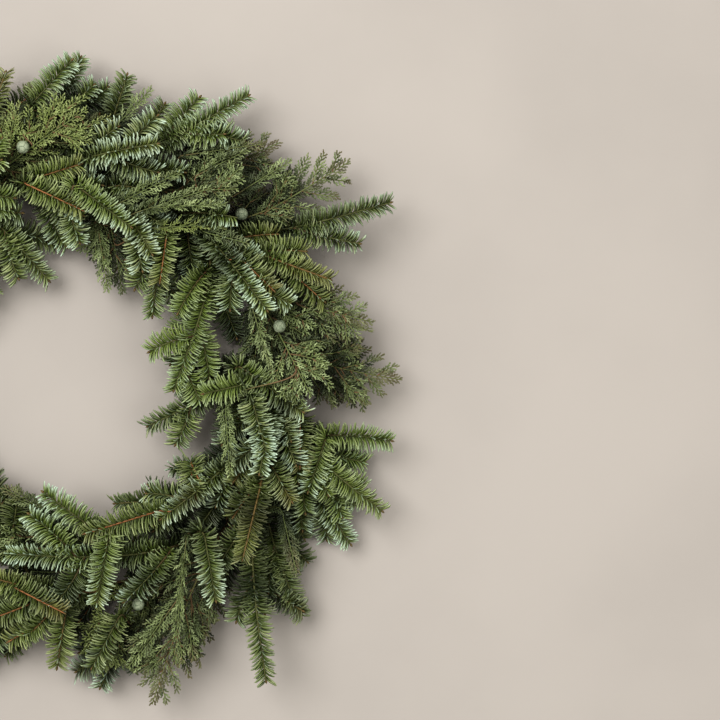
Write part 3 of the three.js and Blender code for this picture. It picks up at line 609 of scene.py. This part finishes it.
class Piece:
    """The mesh of one piece, gathered from strands, each of them a row of rings that ends in a point."""

    def __init__(self):
        self.rows = {name: [] for name in ("points", "loops", "totals", "slots", "cells", "places", *MARKS)}
        self.count = 0
        self.strands = 0

    def gather(self, rings, tips, shares, slot, marks):
        """rings (n, r, k, 3), each counterclockwise as seen from ahead, tips (n, 3), shares (r,)."""
        n, r, k = rings.shape[:3]
        per = r * k + 1
        side = np.arange(k)
        after = (side + 1) % k
        row = np.arange(r - 1)[:, None] * k
        a = (row + side).ravel()
        b = (row + after).ravel()
        quads = np.column_stack((a, b, b + k, a + k))
        end = (r - 1) * k
        fan = np.column_stack((end + side, end + after, np.full(k, r * k)))
        loops = np.concatenate((quads.ravel(), fan.ravel(), side[::-1]))
        totals = np.repeat((4, 3, k), (len(quads), k, 1))
        along = np.append(np.repeat(shares, k), 1.0)
        under = np.append(np.tile(np.abs((side / k * 2 + 1) % 2 - 1), r), 0.5)
        low = side / k
        high = (side + 1) / k
        turn = side * 2 * math.pi / k
        quad_v = np.tile(np.column_stack((low, high, high, low)).ravel(), r - 1)
        fan_v = np.column_stack((low, high, (low + high) / 2)).ravel()
        us = np.concatenate((along[quads].ravel(), along[fan].ravel(), CAP_LONG * (np.cos(turn) - 1)))
        vs = np.concatenate((quad_v, fan_v, 0.5 + CAP_WIDE * np.sin(turn)))
        made = {
            "points": np.concatenate((rings.reshape(n, r * k, 3), tips[:, None]), axis=1).reshape(-1, 3),
            "loops": (self.count + np.arange(n)[:, None] * per + loops).ravel(),
            "totals": np.tile(totals, n),
            "slots": np.full(len(totals) * n, slot),
            "cells": np.repeat(self.strands + np.arange(n), len(loops)),
            "places": np.tile(np.column_stack((us, vs)), (n, 1)),
            "along": np.tile(along, n),
            "under": np.tile(under, n),
        }
        for name, rows in self.rows.items():
            given = np.broadcast_to(marks.get(name, 0.0), n)
            rows.append(made[name] if name in made else np.repeat(given, per))
        self.count += n * per
        self.strands += n

    def blades(self, root, start, end, face, length, width, thick, shape, slot=LEAF, **marks):
        """Flat pointed blades that bend from one direction to another, their face towards a third."""
        clear = clear_of_cones(root + length[:, None] * (start + end) / 3)
        width = np.broadcast_to(width, len(root))[clear]
        root, start, end, face, length = (row[clear] for row in (root, start, end, face, length))
        shares = np.array([point[0] for point in shape])
        wide = np.array([point[1] for point in shape])
        t = shares[None, :, None]
        reach = length[:, None, None]
        middle = root[:, None] + reach * (start[:, None] * (t - t * t / 2) + end[:, None] * (t * t / 2))
        middle[..., 2] = np.maximum(middle[..., 2], LEAF_FLOOR)
        tips = root + length[:, None] * (start + end) / 2
        tips[:, 2] = np.maximum(tips[:, 2], LEAF_FLOOR)
        ahead = unit(start[:, None] * (1 - t) + end[:, None] * t)
        over = unit(face[:, None] - ahead * (face[:, None] * ahead).sum(axis=2, keepdims=True))
        side = np.cross(ahead, over)
        half_wide = (width[:, None] * wide / 2)[..., None]
        half_thick = (thick * wide / 2)[:, None]
        corners = (over * half_thick, side * half_wide, -over * half_thick, -side * half_wide)
        rings = np.stack([middle + corner for corner in corners], axis=2)
        self.gather(rings, tips, shares, slot, picked(marks, clear))

    def rod(self, line, radii, sides, orange):
        """A tapered twig along a line."""
        line = respaced(line, WOOD_SPACING)
        ahead, side, over = frames(line, 0)
        share = np.linspace(0.0, 1.0, len(line))
        radius = radii[0] + (radii[1] - radii[0]) * share
        angles = np.arange(sides) * 2 * math.pi / sides + math.pi / 2
        ring = side[:, None] * -np.cos(angles)[None, :, None] + over[:, None] * np.sin(angles)[None, :, None]
        rings = line[:, None] + ring[:, ::-1] * radius[:, None, None]
        tip = line[-1] + ahead[-1] * radii[1]
        self.gather(rings[None], tip[None], share * WOOD_END, BARK, {"orange": orange})

    def build(self, name, *materials):
        """The object, in metres and in the model's frame, its map with a square for each strand."""
        whole = {key: np.concatenate(rows) for key, rows in self.rows.items()}
        points = (whole["points"] + RING_MIDDLE) / 1000
        totals = whole["totals"]
        mesh = bpy.data.meshes.new(name)
        mesh.vertices.add(len(points))
        mesh.vertices.foreach_set("co", points.astype(np.float32).ravel())
        mesh.loops.add(len(whole["loops"]))
        mesh.loops.foreach_set("vertex_index", whole["loops"].astype(np.int32))
        mesh.polygons.add(len(totals))
        mesh.polygons.foreach_set("loop_start", (np.cumsum(totals) - totals).astype(np.int32))
        mesh.polygons.foreach_set("material_index", whole["slots"].astype(np.int32))
        for mark in MARKS:
            attribute = mesh.attributes.new(mark, "FLOAT", "POINT")
            attribute.data.foreach_set("value", whole[mark].astype(np.float32))
        across = math.ceil(math.sqrt(self.strands))
        corner = np.column_stack((whole["cells"] % across, whole["cells"] // across))
        inside = MAP_EDGE + (1 - 2 * MAP_EDGE) * np.clip(whole["places"], -2 * CAP_LONG, 1.0)
        layer = mesh.uv_layers.new(name="OFBake")
        layer.data.foreach_set("uv", ((corner + inside) / across).astype(np.float32).ravel())
        mesh.update(calc_edges=True)
        mesh.validate()
        return placed(mesh, *materials)


# ---- Foliage


def clear_of_cones(points):
    """Which of these points don't hide a cone from above."""
    clear = np.ones(len(points), bool)
    for c in cone_middles:
        aside = np.hypot(points[:, 0] - c[0], points[:, 1] - c[1])
        clear &= (aside > CONE_RADIUS + CONE_RIM) | (points[:, 2] < c[2] - CONE_RADIUS)
    return clear


def frames(line, roll):
    """Forward, right and over at each point of a line, rolled about it."""
    ahead = unit(np.gradient(line, axis=0))
    side = unit(np.cross(ahead, UP))
    over = np.cross(side, ahead)
    c = math.cos(math.radians(roll))
    s = math.sin(math.radians(roll))
    return ahead, side * c + over * s, over * c - side * s


def reader(line, places):
    """A function that reads rows, one for each point of a line, at distances along it."""
    at = distances(line)
    return lambda rows: np.column_stack([np.interp(places, at, rows[:, k]) for k in range(3)])


def turned(ahead, out, angle):
    """The ways at angles, in radians, from one way towards another."""
    return ahead * np.cos(angle) + out * np.sin(angle)


# The rows of needles to either side of a fir twig: (degrees above the side, spacing, length)
NEEDLE_ROWS = ((4, 2.8, 1.0), (28, 3.6, 0.97), (56, 5.8, 0.82), (-32, 4.9, 0.88))
NEEDLE = {"length": 17.0, "width": 1.95, "thick": 0.85, "root": 0.4, "last": 0.5, "upwards": 0.25}
NEEDLE_GROWS = ((0.75, 2.2), (1.5, -0.82))  # the most at a twig's root, and how it changes along it
LEAN = {"base": 50.0, "tip": 40.0, "outwards": 56.0, "less": 0.4}
SPREAD = {"place": 0.2, "rise": 8, "lean": 5, "bend": 8, "length": 0.09, "width": 0.06}
BUD = {"length": 4.2, "width": 2.3, "sunk": 1.2, "orange": 0.5}
LEAST_CLOTHED = {"fir": 6, "cedar": 5}

# What lies over a twig is counted in cells and those beside them, and from few to many it gets painted shade
COVER = {"cell": 4.0, "beside": 3, "above": 8.0, "few": 6, "many": 50, "darkens": 0.95, "hollow": 28.0}
HOLLOW_PAINTED_SHADE = 1.2
COVER_REACH = 360.0
COVER_TOP = 140


def cover_field(points):
    """How many points lie at or above each cell of a grid, and in the cells beside it."""
    across = np.arange(-COVER_REACH, COVER_REACH + 1, COVER["cell"])
    upwards = np.arange(0, COVER_TOP, COVER["cell"])
    count = np.histogramdd(points, (across, across, upwards))[0]
    above = count[:, :, ::-1].cumsum(axis=2)[:, :, ::-1]
    for axis in (0, 1):
        above = sum(np.roll(above, k, axis) for k in range(-COVER["beside"], COVER["beside"] + 1))
    return above


def covered(line):
    """How much lies over the points of a line, from 0 in the open to 1 deep in the wreath, raised near a
    hollow: it sets their painted shade.
    """
    cells = ((line + (COVER_REACH, COVER_REACH, COVER["above"])) / COVER["cell"]).astype(int)
    over = field[cells[:, 0], cells[:, 1], cells[:, 2]]
    share = np.clip((over - COVER["few"]) / (COVER["many"] - COVER["few"]), 0, 1)
    # painted shade round each hollow, however little lies over the leaves there
    for hollow in hollow_middles:
        away = np.linalg.norm(line[:, :2] - hollow, axis=1)
        share = np.maximum(share, np.clip(HOLLOW_PAINTED_SHADE - away / COVER["hollow"], 0, 1))
    return share


# From where along a twig and over which share bloom and brown come in, and the leaves' shade (mean, spread).
# Where leaves are covered their bloom is dimmed, as painted shade
BLOOM = {"from": 0.35, "over": 0.5, "base": 0.15, "covered": 0.7, "spread": 0.25}
BROWNING = {"from": 0.5, "over": 0.4}
SHADE = (0.5, 0.27)


def towards_tip(look, share, random):
    """The marks of leaves along a twig: bloom and brown towards its tip, and painted shade where covered."""
    marks = {mark: value for mark, value in look.items() if mark != "cover"}
    deep = np.interp(share, np.linspace(0, 1, len(look["cover"])), look["cover"])
    late, brown = (np.clip((share - way["from"]) / way["over"], 0, 1) for way in (BLOOM, BROWNING))
    # painted shade: covered leaves get less bloom and are darkened
    frost = look["frost"] * (BLOOM["base"] + (1 - BLOOM["base"]) * late) * (1 - BLOOM["covered"] * deep)
    marks["dark"] = np.clip(look["dark"] + COVER["darkens"] * deep, 0, 1)
    marks["frost"] = np.clip(frost * random.normal(1, BLOOM["spread"], len(share)), 0, 1)
    marks["brown"] = look["brown"] * brown
    marks["shade"] = np.clip(random.normal(*SHADE, len(share)), 0, 1)
    return marks


def clothe_fir(piece, line, start, roll, look, random):
    """Needles along a fir twig from a distance along it, and a bud at its tip."""
    length = length_of(line)
    if length - start < LEAST_CLOTHED["fir"]:
        return
    frame_rows = frames(line, roll)
    for rise, spacing, part in NEEDLE_ROWS:
        for hand in (1, -1):
            count = int((length - start) / spacing)
            places = start + (np.arange(count) + random.random()) * spacing
            differ = {name: random.normal(0, spread, count) for name, spread in SPREAD.items()}
            places = np.minimum(places + differ["place"], length - NEEDLE["last"])
            read = reader(line, places)
            ahead, side, over = (unit(read(rows)) for rows in frame_rows)
            share = (places - start) / (length - start)
            angle = np.radians(rise + differ["rise"])[:, None]
            out = turned(side * hand, over, angle)
            lean = LEAN["base"] + (LEAN["tip"] - LEAN["base"]) * share**3 + differ["lean"]
            late = lean + LEAN["outwards"] * (1 - LEAN["less"] * share**2) + differ["bend"]
            first = turned(ahead, out, np.radians(lean)[:, None])
            last = turned(ahead, out, np.radians(late)[:, None])
            last = unit(last + over * NEEDLE["upwards"] * math.cos(math.radians(rise)))
            face = over * np.abs(np.cos(angle)) + ahead * np.abs(np.sin(angle))
            full = np.minimum(1.0, np.minimum(*(base + change * share for base, change in NEEDLE_GROWS)))
            long = NEEDLE["length"] * part * full * (1 + differ["length"])
            wide = NEEDLE["width"] * (1 + differ["width"])
            root = read(line) + out * NEEDLE["root"]
            marks = towards_tip(look, share, random)
            piece.blades(root, first, last, face, long, wide, NEEDLE["thick"], NEEDLE_SHAPE, **marks)
    ahead, side, over = (rows[-1:] for rows in frame_rows)
    root = line[-1:] - ahead * BUD["sunk"]
    size = (np.array((BUD["length"],)), BUD["width"], BUD["width"])
    piece.blades(root, ahead, ahead, over, *size, BUD_SHAPE, BARK, orange=BUD["orange"])


# A cedar's flat side sprigs, and the finer ones on them
LIMB = {"spacing": 2.4, "turn": 42.0, "turns": 5, "lifts": (0.08, 0.24), "lengths": (0.82, 1.12)}
LIMB_BENDS = -14.0
LIMB_BLADE = (1.5, 1.1, SCALE_SHAPE)
LIMB_LENGTH = (3.0, 14.0)
LIMB_GROWS = ((4.0, 0.42), (5.0, 0.5))  # the length at a twig's tip and root, and how it grows from there
SPRIG = {"spacing": 1.9, "turn": 38.0, "turns": 6, "lifts": (0.1, 0.36), "lengths": (0.8, 1.15)}
SPRIG_BLADE = (1.35, 1.0, SPRIG_SHAPE)
SPRIG_LENGTH = (1.8, 5.2)
SPRIG_SHARE = 0.55  # of what is left of the side sprig
SPRIG_FIRST = 0.9  # where the first one grows, in spacings
SPRIG_END = 1.2  # the bare end of a side sprig
SPRIG_BENDS = 0.4  # towards the side sprig's way


def leaving(rule, ahead, side, over, random):
    """A function for the ways of sprigs that leave a twig and have bent by an angle."""
    turn = np.radians(rule["turn"] + random.normal(0, rule["turns"], len(ahead)))[:, None]
    lift = over * random.normal(*rule["lifts"], len(ahead))[:, None]
    return lambda bend: unit(turned(ahead, side, turn + math.radians(bend)) + lift)


def either_side(numbers):
    return np.where(numbers % 2 == 0, 1.0, -1.0)[:, None]


def clothe_cedar(piece, line, start, roll, look, random):
    """Flat side sprigs along a cedar twig, each with finer ones of its own."""
    length = length_of(line)
    if length - start < LEAST_CLOTHED["cedar"]:
        return
    numbers = np.arange(int((length - start) / LIMB["spacing"]))
    places = start + (numbers + 0.5) * LIMB["spacing"]
    read = reader(line, places)
    ahead, side, over = (unit(read(rows)) for rows in frames(line, roll))
    (tip, from_tip), (base, from_base) = LIMB_GROWS
    full = np.minimum(tip + from_tip * (length - places), base + from_base * (places - start))
    reach = np.clip(full, *LIMB_LENGTH) * random.uniform(*LIMB["lengths"], len(numbers))
    way_of = leaving(LIMB, ahead, side * either_side(numbers), over, random)
    first = way_of(0)
    last = way_of(LIMB_BENDS)
    marks = towards_tip(look, (places - start) / (length - start), random)
    root = read(line)
    piece.blades(root, first, last, over, reach, *LIMB_BLADE, **marks)
    for k in range(int(LIMB_LENGTH[1] * LIMB["lengths"][1] / SPRIG["spacing"])):
        along = (k + SPRIG_FIRST) * SPRIG["spacing"]
        has = reach > along + SPRIG_END
        if not has.any():
            break
        t = (along / reach[has])[:, None]
        at = root[has] + reach[has][:, None] * (first[has] * (t - t * t / 2) + last[has] * t * t / 2)
        way = unit(first[has] * (1 - t) + last[has] * t)
        across = unit(np.cross(way, over[has])) * either_side(numbers[has] + k)
        out = leaving(SPRIG, way, across, over[has], random)(0)
        size = np.clip(SPRIG_SHARE * (reach[has] - along), *SPRIG_LENGTH)
        size = size * random.uniform(*SPRIG["lengths"], len(size))
        bent = unit(out * (1 - SPRIG_BENDS) + way * SPRIG_BENDS)
        piece.blades(at, out, bent, over[has], size, *SPRIG_BLADE, **picked(marks, has))


DARK_BELOW = 42.0  # the height under which twigs get painted shade, the more the lower they lie
LOW_PAINTED_SHADE = 0.45
OPEN_PAINTED_SHADE = 0.2  # of that painted shade, where nothing covers them
DARKEST = 0.85
LOOK_SPREAD = 0.08


def look_of(name, line, random):
    """A look's marks, which differ from twig to twig. Low, covered ones are darkened with painted shade."""
    values = np.clip(LOOKS[name] + random.normal(0, LOOK_SPREAD, len(LOOK_MARKS)), 0, 1)
    look = dict(zip(LOOK_MARKS, values.tolist()))
    cover = covered(line)
    # painted shade on low twigs, deeper where they are covered
    low = np.clip(1 - line[:, 2].mean() / DARK_BELOW, 0, 1) * (OPEN_PAINTED_SHADE + cover.mean())
    look["dark"] = float(np.clip(look["dark"] + LOW_PAINTED_SHADE * low, 0, DARKEST))
    look["cover"] = cover
    return look


# The radii of a stem and of its twigs, at the root and at the tip, and how far the twigs roll
WOOD = {
    "fir": {"stem": (1.6, 0.8), "twig": (1.05, 0.7), "rolls": 12},
    "cedar": {"stem": (1.4, 0.5), "twig": (0.75, 0.45), "rolls": 24},
}
STEM_SIDES, TWIG_SIDES = 8, 6
STEM_ROLLS = 8
STEM_BARE = 0.1  # share of a stem without leaves


def dress(branch, random):
    """The fine piece of one branch: its wood, its own shoots and those that fill the wreath."""
    piece = Piece()
    line = branch["line"]
    wood = WOOD[branch["kind"]]
    clothe = clothe_fir if branch["kind"] == "fir" else clothe_cedar
    look = look_of(branch["look"], line, random)
    piece.rod(np.concatenate((branch["tail"][None], line)), wood["stem"], STEM_SIDES, look["orange"])
    bare = (len(line) - 1) * SAMPLE * STEM_BARE
    clothe(piece, line, bare, random.normal(0, STEM_ROLLS), look, random)
    for shoot in branch["shoots"] + branch["fill"]:
        look = look_of(shoot.get("look", branch["look"]), shoot["line"], random)
        piece.rod(shoot["line"], wood["twig"], TWIG_SIDES, look["orange"])
        bare = shoot.get("bare", LEAST_BARE)
        clothe(piece, shoot["line"], bare, random.normal(0, wood["rolls"]), look, random)
    return piece


# ---- Materials


def feed(tree, socket, value):
    """Gives a socket a value, the output of a node or the mark with a name."""
    if isinstance(value, str):
        mark = tree.nodes.new("ShaderNodeAttribute")
        mark.attribute_name = value
        value = mark.outputs["Fac"]
    if isinstance(value, bpy.types.NodeSocket):
        tree.links.new(value, socket)
    else:
        socket.default_value = (*value, 1.0) if isinstance(value, tuple) else value


def node_of(tree, kind, **inputs):
    node = tree.nodes.new(kind)
    for name, value in inputs.items():
        feed(tree, node.inputs[name.replace("_", " ")], value)
    return node


def mixed(tree, amount, a, b):
    node = tree.nodes.new("ShaderNodeMix")
    node.data_type = "RGBA"
    for socket, value in ((0, amount), (6, a), (7, b)):
        feed(tree, node.inputs[socket], value)
    return node.outputs[2]


def joined(tree, a, b, how="MULTIPLY"):
    node = tree.nodes.new("ShaderNodeMath")
    node.operation = how
    node.use_clamp = True
    feed(tree, node.inputs[0], a)
    feed(tree, node.inputs[1], b)
    return node.outputs[0]


def ramp(tree, value, low, high):
    """From 0 at low to 1 at high."""
    node = node_of(tree, "ShaderNodeMapRange", Value=value, From_Min=low, From_Max=high)
    node.interpolation_type = "SMOOTHSTEP"
    return node.outputs["Result"]


def noise(tree, scale, detail=3.0):
    place = tree.nodes.new("ShaderNodeTexCoord")
    node = node_of(tree, "ShaderNodeTexNoise", Vector=place.outputs["Object"], Scale=scale, Detail=detail)
    return node.outputs["Fac"]


def blank(name):
    material = bpy.data.materials.new(name)
    material.use_nodes = True
    tree = material.node_tree
    return material, tree, tree.nodes["Principled BSDF"]


def dressed(tree, shader, colour, roughness, height, strength, distance):
    """Gives a shader its colour, its roughness and the bumps of its surface."""
    feed(tree, shader.inputs["Base Color"], colour)
    feed(tree, shader.inputs["Roughness"], roughness)
    bump = node_of(tree, "ShaderNodeBump", Height=height, Strength=strength, Distance=distance)
    feed(tree, shader.inputs["Normal"], bump.outputs["Normal"])


def leaf_material(name, dark, middle, light, fresh, frost, brown, roughness):
    """Green leaves: a tone that differs from leaf to leaf, pale undersides, waxy bloom, browner and fresher
    parts, and painted shade at each leaf's root and on low or covered twigs.
    """
    material, tree, shader = blank(name)
    mottled = noise(tree, 160.0)
    bloom = joined(tree, ramp(tree, "under", 0.55, 0.95), 0.6)
    tip = joined(tree, "frost", ramp(tree, "along", 0.3, 1.0))
    colour = dark
    for amount, over in (
        (ramp(tree, "shade", 0.0, 0.6), middle),
        (ramp(tree, "shade", 0.45, 1.1), light),
        (joined(tree, "fresh", 0.7), fresh),
        (joined(tree, ramp(tree, "along", 0.2, 1.0), 0.3), light),
        # painted shade: each leaf is darkened at its root, where the leaves crowd the twig
        (joined(tree, ramp(tree, "along", 0.45, -0.1), 0.6), dark),
        # the dark mark: each twig's own darker tone, plus painted shade where it lies low or covered
        (joined(tree, "dark", 0.85), dark),
        (joined(tree, ramp(tree, mottled, 0.45, 0.7), 0.2), dark),
        (joined(tree, bloom, tip, "ADD"), frost),
        (joined(tree, "brown", ramp(tree, noise(tree, 28.0), 0.25, 0.55)), brown),
    ):
        colour = mixed(tree, amount, colour, over)
    uneven = node_of(tree, "ShaderNodeMapRange", Value=mottled, To_Min=roughness, To_Max=roughness + 0.2)
    dressed(tree, shader, colour, uneven.outputs[0], noise(tree, 900.0), 0.25, 0.0004)
    shader.inputs["Specular IOR Level"].default_value = 0.75
    return material


def bark_material(name, old, green, orange):
    """Woody twigs: brown at the stem, green or orange where they are young."""
    material, tree, shader = blank(name)
    grain = noise(tree, 420.0)
    colour = mixed(tree, ramp(tree, "along", 0.1, 0.6), old, green)
    colour = mixed(tree, ramp(tree, "orange", 0.3, 0.9), colour, orange)
    deep = tuple(0.4 * c for c in old)
    colour = mixed(tree, joined(tree, ramp(tree, grain, 0.5, 0.75), 0.5), colour, deep)
    dressed(tree, shader, colour, 0.7, grain, 0.5, 0.0006)
    return material


def cone_material():
    """Pale blue-green wax over green scales, worn unevenly, and darker in the creases with painted shade."""
    material, tree, shader = blank("cone_wax")
    worn = noise(tree, 260.0)
    colour = mixed(tree, ramp(tree, worn, 0.4, 0.7), (0.290, 0.325, 0.235), (0.180, 0.220, 0.150))
    # painted shade: the creases between the scales are darkened nearly to black
    colour = mixed(tree, ramp(tree, "crease", 0.55, 1.0), colour, (0.05, 0.07, 0.045))
    dressed(tree, shader, colour, 0.75, worn, 0.3, 0.0005)
    return material


def steel_material():
    """Green enamel on wire, a little uneven."""
    material, tree, shader = blank("green_enamel")
    uneven = noise(tree, 90.0)
    colour = mixed(tree, ramp(tree, uneven, 0.35, 0.65), (0.02, 0.045, 0.02), (0.035, 0.065, 0.03))
    dressed(tree, shader, colour, 0.35, uneven, 0.15, 0.0005)
    shader.inputs["Coat Weight"].default_value = 0.3
    return material


def floor_material():
    """Smooth painted board with the faintest unevenness."""
    material, tree, shader = blank("pale_board")
    cloud = noise(tree, 3.0, 5.0)
    colour = mixed(tree, ramp(tree, cloud, 0.3, 0.7), (0.318, 0.295, 0.277), (0.345, 0.320, 0.300))
    feed(tree, shader.inputs["Base Color"], colour)
    shader.inputs["Roughness"].default_value = 0.85
    return material


# ---- The pieces

FILL_SEED, LEAF_SEED, CONE_SEED = 500, 100, 300
ROD_STEP = 2.5  # degrees from ring to ring of the rod
ROD_SIDES, WIRE_SIDES = 16, 10
WIRE_BEND = 3.0  # how far from its corner a clamp's wire starts to bend
BEND_POINTS = 6
# A cone's scales, in its radius: how far they stand off an even spacing, the width and depth of the creases
# between them, the width and height of their bosses, and their own radius
ASTRAY = 0.07
CREASE = (0.13, 0.09)
BOSS = (0.012, 0.035)
SCALE_RADIUS = 0.985
LIGHT_SIZE = 2.1
LIGHT_TARGET = (0.05, 0, 0)
LIGHT_COLOUR = (1.0, 0.985, 0.96)
SKY_COLOUR = (1.0, 0.985, 0.925, 1.0)
SKY_STRENGTH = 0.54


def smooth_loop(clock):
    """The middle of a clamp's wire, its corners rounded."""
    corners = clamp_loop(clock)
    points = []
    for i, corner in enumerate(corners):
        before = corner + unit(corners[i - 1] - corner) * WIRE_BEND
        after = corner + unit(corners[(i + 1) % 4] - corner) * WIRE_BEND
        for t in np.linspace(0.0, 1.0, BEND_POINTS):
            points.append(before * (1 - t) ** 2 + 2 * corner * t * (1 - t) + after * t**2)
    return np.array(points)


def add_tube(points, faces, middles, beside, radius, sides):
    """Adds a closed tube, with beside square to the plane of its loop."""
    first = len(points)
    out = np.cross(unit(np.roll(middles, -1, axis=0) - np.roll(middles, 1, axis=0)), beside)
    for i, middle in enumerate(middles):
        here = first + i * sides
        there = first + (i + 1) % len(middles) * sides
        for k in range(sides):
            angle = 2 * math.pi * k / sides
            after = (k + 1) % sides
            points.append(middle + radius * (math.cos(angle) * out[i] + math.sin(angle) * beside))
            faces.append((here + k, there + k, there + after, here + after))


def make_ring(material):
    """The ring's round rod and its clamps, bent of wire."""
    points = []
    faces = []
    middles = np.array([clock_point(clock, RING_RADIUS, ROD / 2) for clock in np.arange(0, 360, ROD_STEP)])
    add_tube(points, faces, middles, UP, ROD / 2, ROD_SIDES)
    for clock in range(0, 360, CLAMP_PITCH):
        add_tube(points, faces, smooth_loop(clock), heading(clock + 90), CLAMP_WIRE / 2, WIRE_SIDES)
    mesh = bpy.data.meshes.new("ring_and_clamps")
    mesh.from_pydata(((np.array(points) + RING_MIDDLE) / 1000).tolist(), [], faces)
    return placed(mesh, material)


def make_cone(node, number, material):
    """A small round cone: twelve shield-shaped scales with low bosses and deep creases between them."""
    low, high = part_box(node)
    middle = (low + high) / 2
    radius = (high - low).length / math.sqrt(3) / 2
    golden = (1 + math.sqrt(5)) / 2
    scales = []
    for a in (-1, 1):
        for b in (-golden, golden):
            scales += [(0, a, b), (a, b, 0), (b, 0, a)]
    scales = unit(np.array(scales, float))
    random = np.random.default_rng(CONE_SEED + number)
    scales = unit(scales + random.normal(0, ASTRAY, scales.shape))
    mesh = bpy.data.meshes.new(f"round_cone_{number:02d}")
    bm = bmesh.new()
    bmesh.ops.create_icosphere(bm, subdivisions=5, radius=1.0)
    layer = bm.verts.layers.float.new("crease")
    for vertex in bm.verts:
        way = np.array(vertex.co)
        near = np.sort(scales @ way)[::-1]
        edge = 1 - min(1.0, (near[0] - near[1]) / CREASE[0])
        boss = math.exp(-(((1 - near[0]) / BOSS[0]) ** 2))
        vertex[layer] = edge
        vertex.co = middle + Vector(way) * radius * (SCALE_RADIUS - CREASE[1] * edge**1.5 + BOSS[1] * boss)
    bm.to_mesh(mesh)
    bm.free()
    return placed(mesh, material)


def make_floor():
    bpy.ops.mesh.primitive_plane_add(size=12.0, location=(0, 0, 0))
    floor = bpy.context.object
    floor.name = "floor"
    floor.data.materials.append(floor_material())


def make_light(name, place, power):
    data = bpy.data.lights.new(name, "AREA")
    data.size = LIGHT_SIZE
    data.energy = power
    data.color = LIGHT_COLOUR
    light = linked(name, data)
    light.location = place
    light.rotation_euler = (Vector(LIGHT_TARGET) - Vector(place)).to_track_quat("-Z", "Y").to_euler()


def make_camera():
    """Straight down on the wreath's right half, as the photo looks at it."""
    middle = PHOTO_SIZE / 2
    data = bpy.data.cameras.new("camera")
    data.sensor_width = 36.0
    data.lens = data.sensor_width / 2 * (CAMERA_HEIGHT - FOLIAGE_HEIGHT) / (middle * PIXEL)
    data.clip_start = 0.1
    data.clip_end = 30.0
    camera = linked("camera", data)
    camera.location = (seen_at((middle, middle), CAMERA_HEIGHT) + RING_MIDDLE) / 1000
    bpy.context.scene.camera = camera


ring_low, ring_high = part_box("clamp_ring")
RING_MIDDLE = np.array((*((ring_low + ring_high) / 2)[:2], 0.0)) * 1000

room = Room()
branches = lay_branches(room)
cone_middles = [cone_seat(branches, cone) for cone in CONES]
hollow_middles = [seen_at(hollow, FOLIAGE_HEIGHT)[:2] for hollow in HOLLOWS]
for branch in branches:
    branch["fill"] = []
for twig in TOP_TWIGS:
    branch, shoot = lay_top_twig(room, branches, twig)
    branch["fill"].append(shoot)
for branch in branches:
    random = np.random.default_rng(FILL_SEED + branch["number"])
    made = fill_shoots(room, branch["line"], branch["number"], FILL[branch["kind"]], random)
    branch["fill"] += made
    if branch["kind"] == "cedar":
        for shoot in made + branch["shoots"]:
            branch["fill"] += fill_shoots(room, shoot["line"], branch["number"], FILL["twiglet"], random)

field = cover_field(room.points)

needles = leaf_material(
    "fir_needles",
    dark=(0.008, 0.016, 0.001),
    middle=(0.088, 0.122, 0.017),
    light=(0.370, 0.405, 0.215),
    fresh=(0.190, 0.255, 0.055),
    frost=(0.425, 0.530, 0.430),
    brown=(0.190, 0.130, 0.040),
    roughness=0.36,
)
scale_leaves = leaf_material(
    "cedar_leaves",
    dark=(0.010, 0.019, 0.003),
    middle=(0.130, 0.168, 0.066),
    light=(0.340, 0.400, 0.215),
    fresh=(0.235, 0.280, 0.070),
    frost=(0.320, 0.405, 0.280),
    brown=(0.110, 0.082, 0.038),
    roughness=0.46,
)
fir_bark = bark_material("fir_bark", (0.10, 0.064, 0.032), (0.078, 0.086, 0.027), (0.26, 0.12, 0.05))
cedar_bark = bark_material("cedar_bark", (0.15, 0.095, 0.05), (0.12, 0.15, 0.055), (0.16, 0.10, 0.05))

names = {"fir": 0, "cedar": 0}
for branch in branches:
    kind = branch["kind"]
    names[kind] += 1
    made = dress(branch, np.random.default_rng(LEAF_SEED + branch["number"]))
    leaves, bark = (needles, fir_bark) if kind == "fir" else (scale_leaves, cedar_bark)
    piece = made.build(f"{kind}_{names[kind]:02d}", leaves, bark)
    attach(piece, "root")
    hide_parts(f"{kind}_branch_{names[kind]:02d}")

wax = cone_material()
for number in range(1, len(CONES) + 1):
    cone = make_cone(f"cone_{number:02d}", number, wax)
    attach(cone, "root")
    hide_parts(f"cone_{number:02d}")

ring = make_ring(steel_material())
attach(ring, "root")
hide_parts("clamp_ring")

make_floor()
make_light("left_softbox", (-1.0, 0.95, 2.8), 92.0)
make_light("right_softbox", (1.8, -0.3, 2.6), 24.0)
world = bpy.data.worlds.new("studio")
world.use_nodes = True
world.node_tree.nodes["Background"].inputs["Color"].default_value = SKY_COLOUR
world.node_tree.nodes["Background"].inputs["Strength"].default_value = SKY_STRENGTH
bpy.context.scene.world = world
bpy.context.scene.view_settings.view_transform = "Standard"
bpy.context.scene.view_settings.look = "High Contrast"
make_camera()
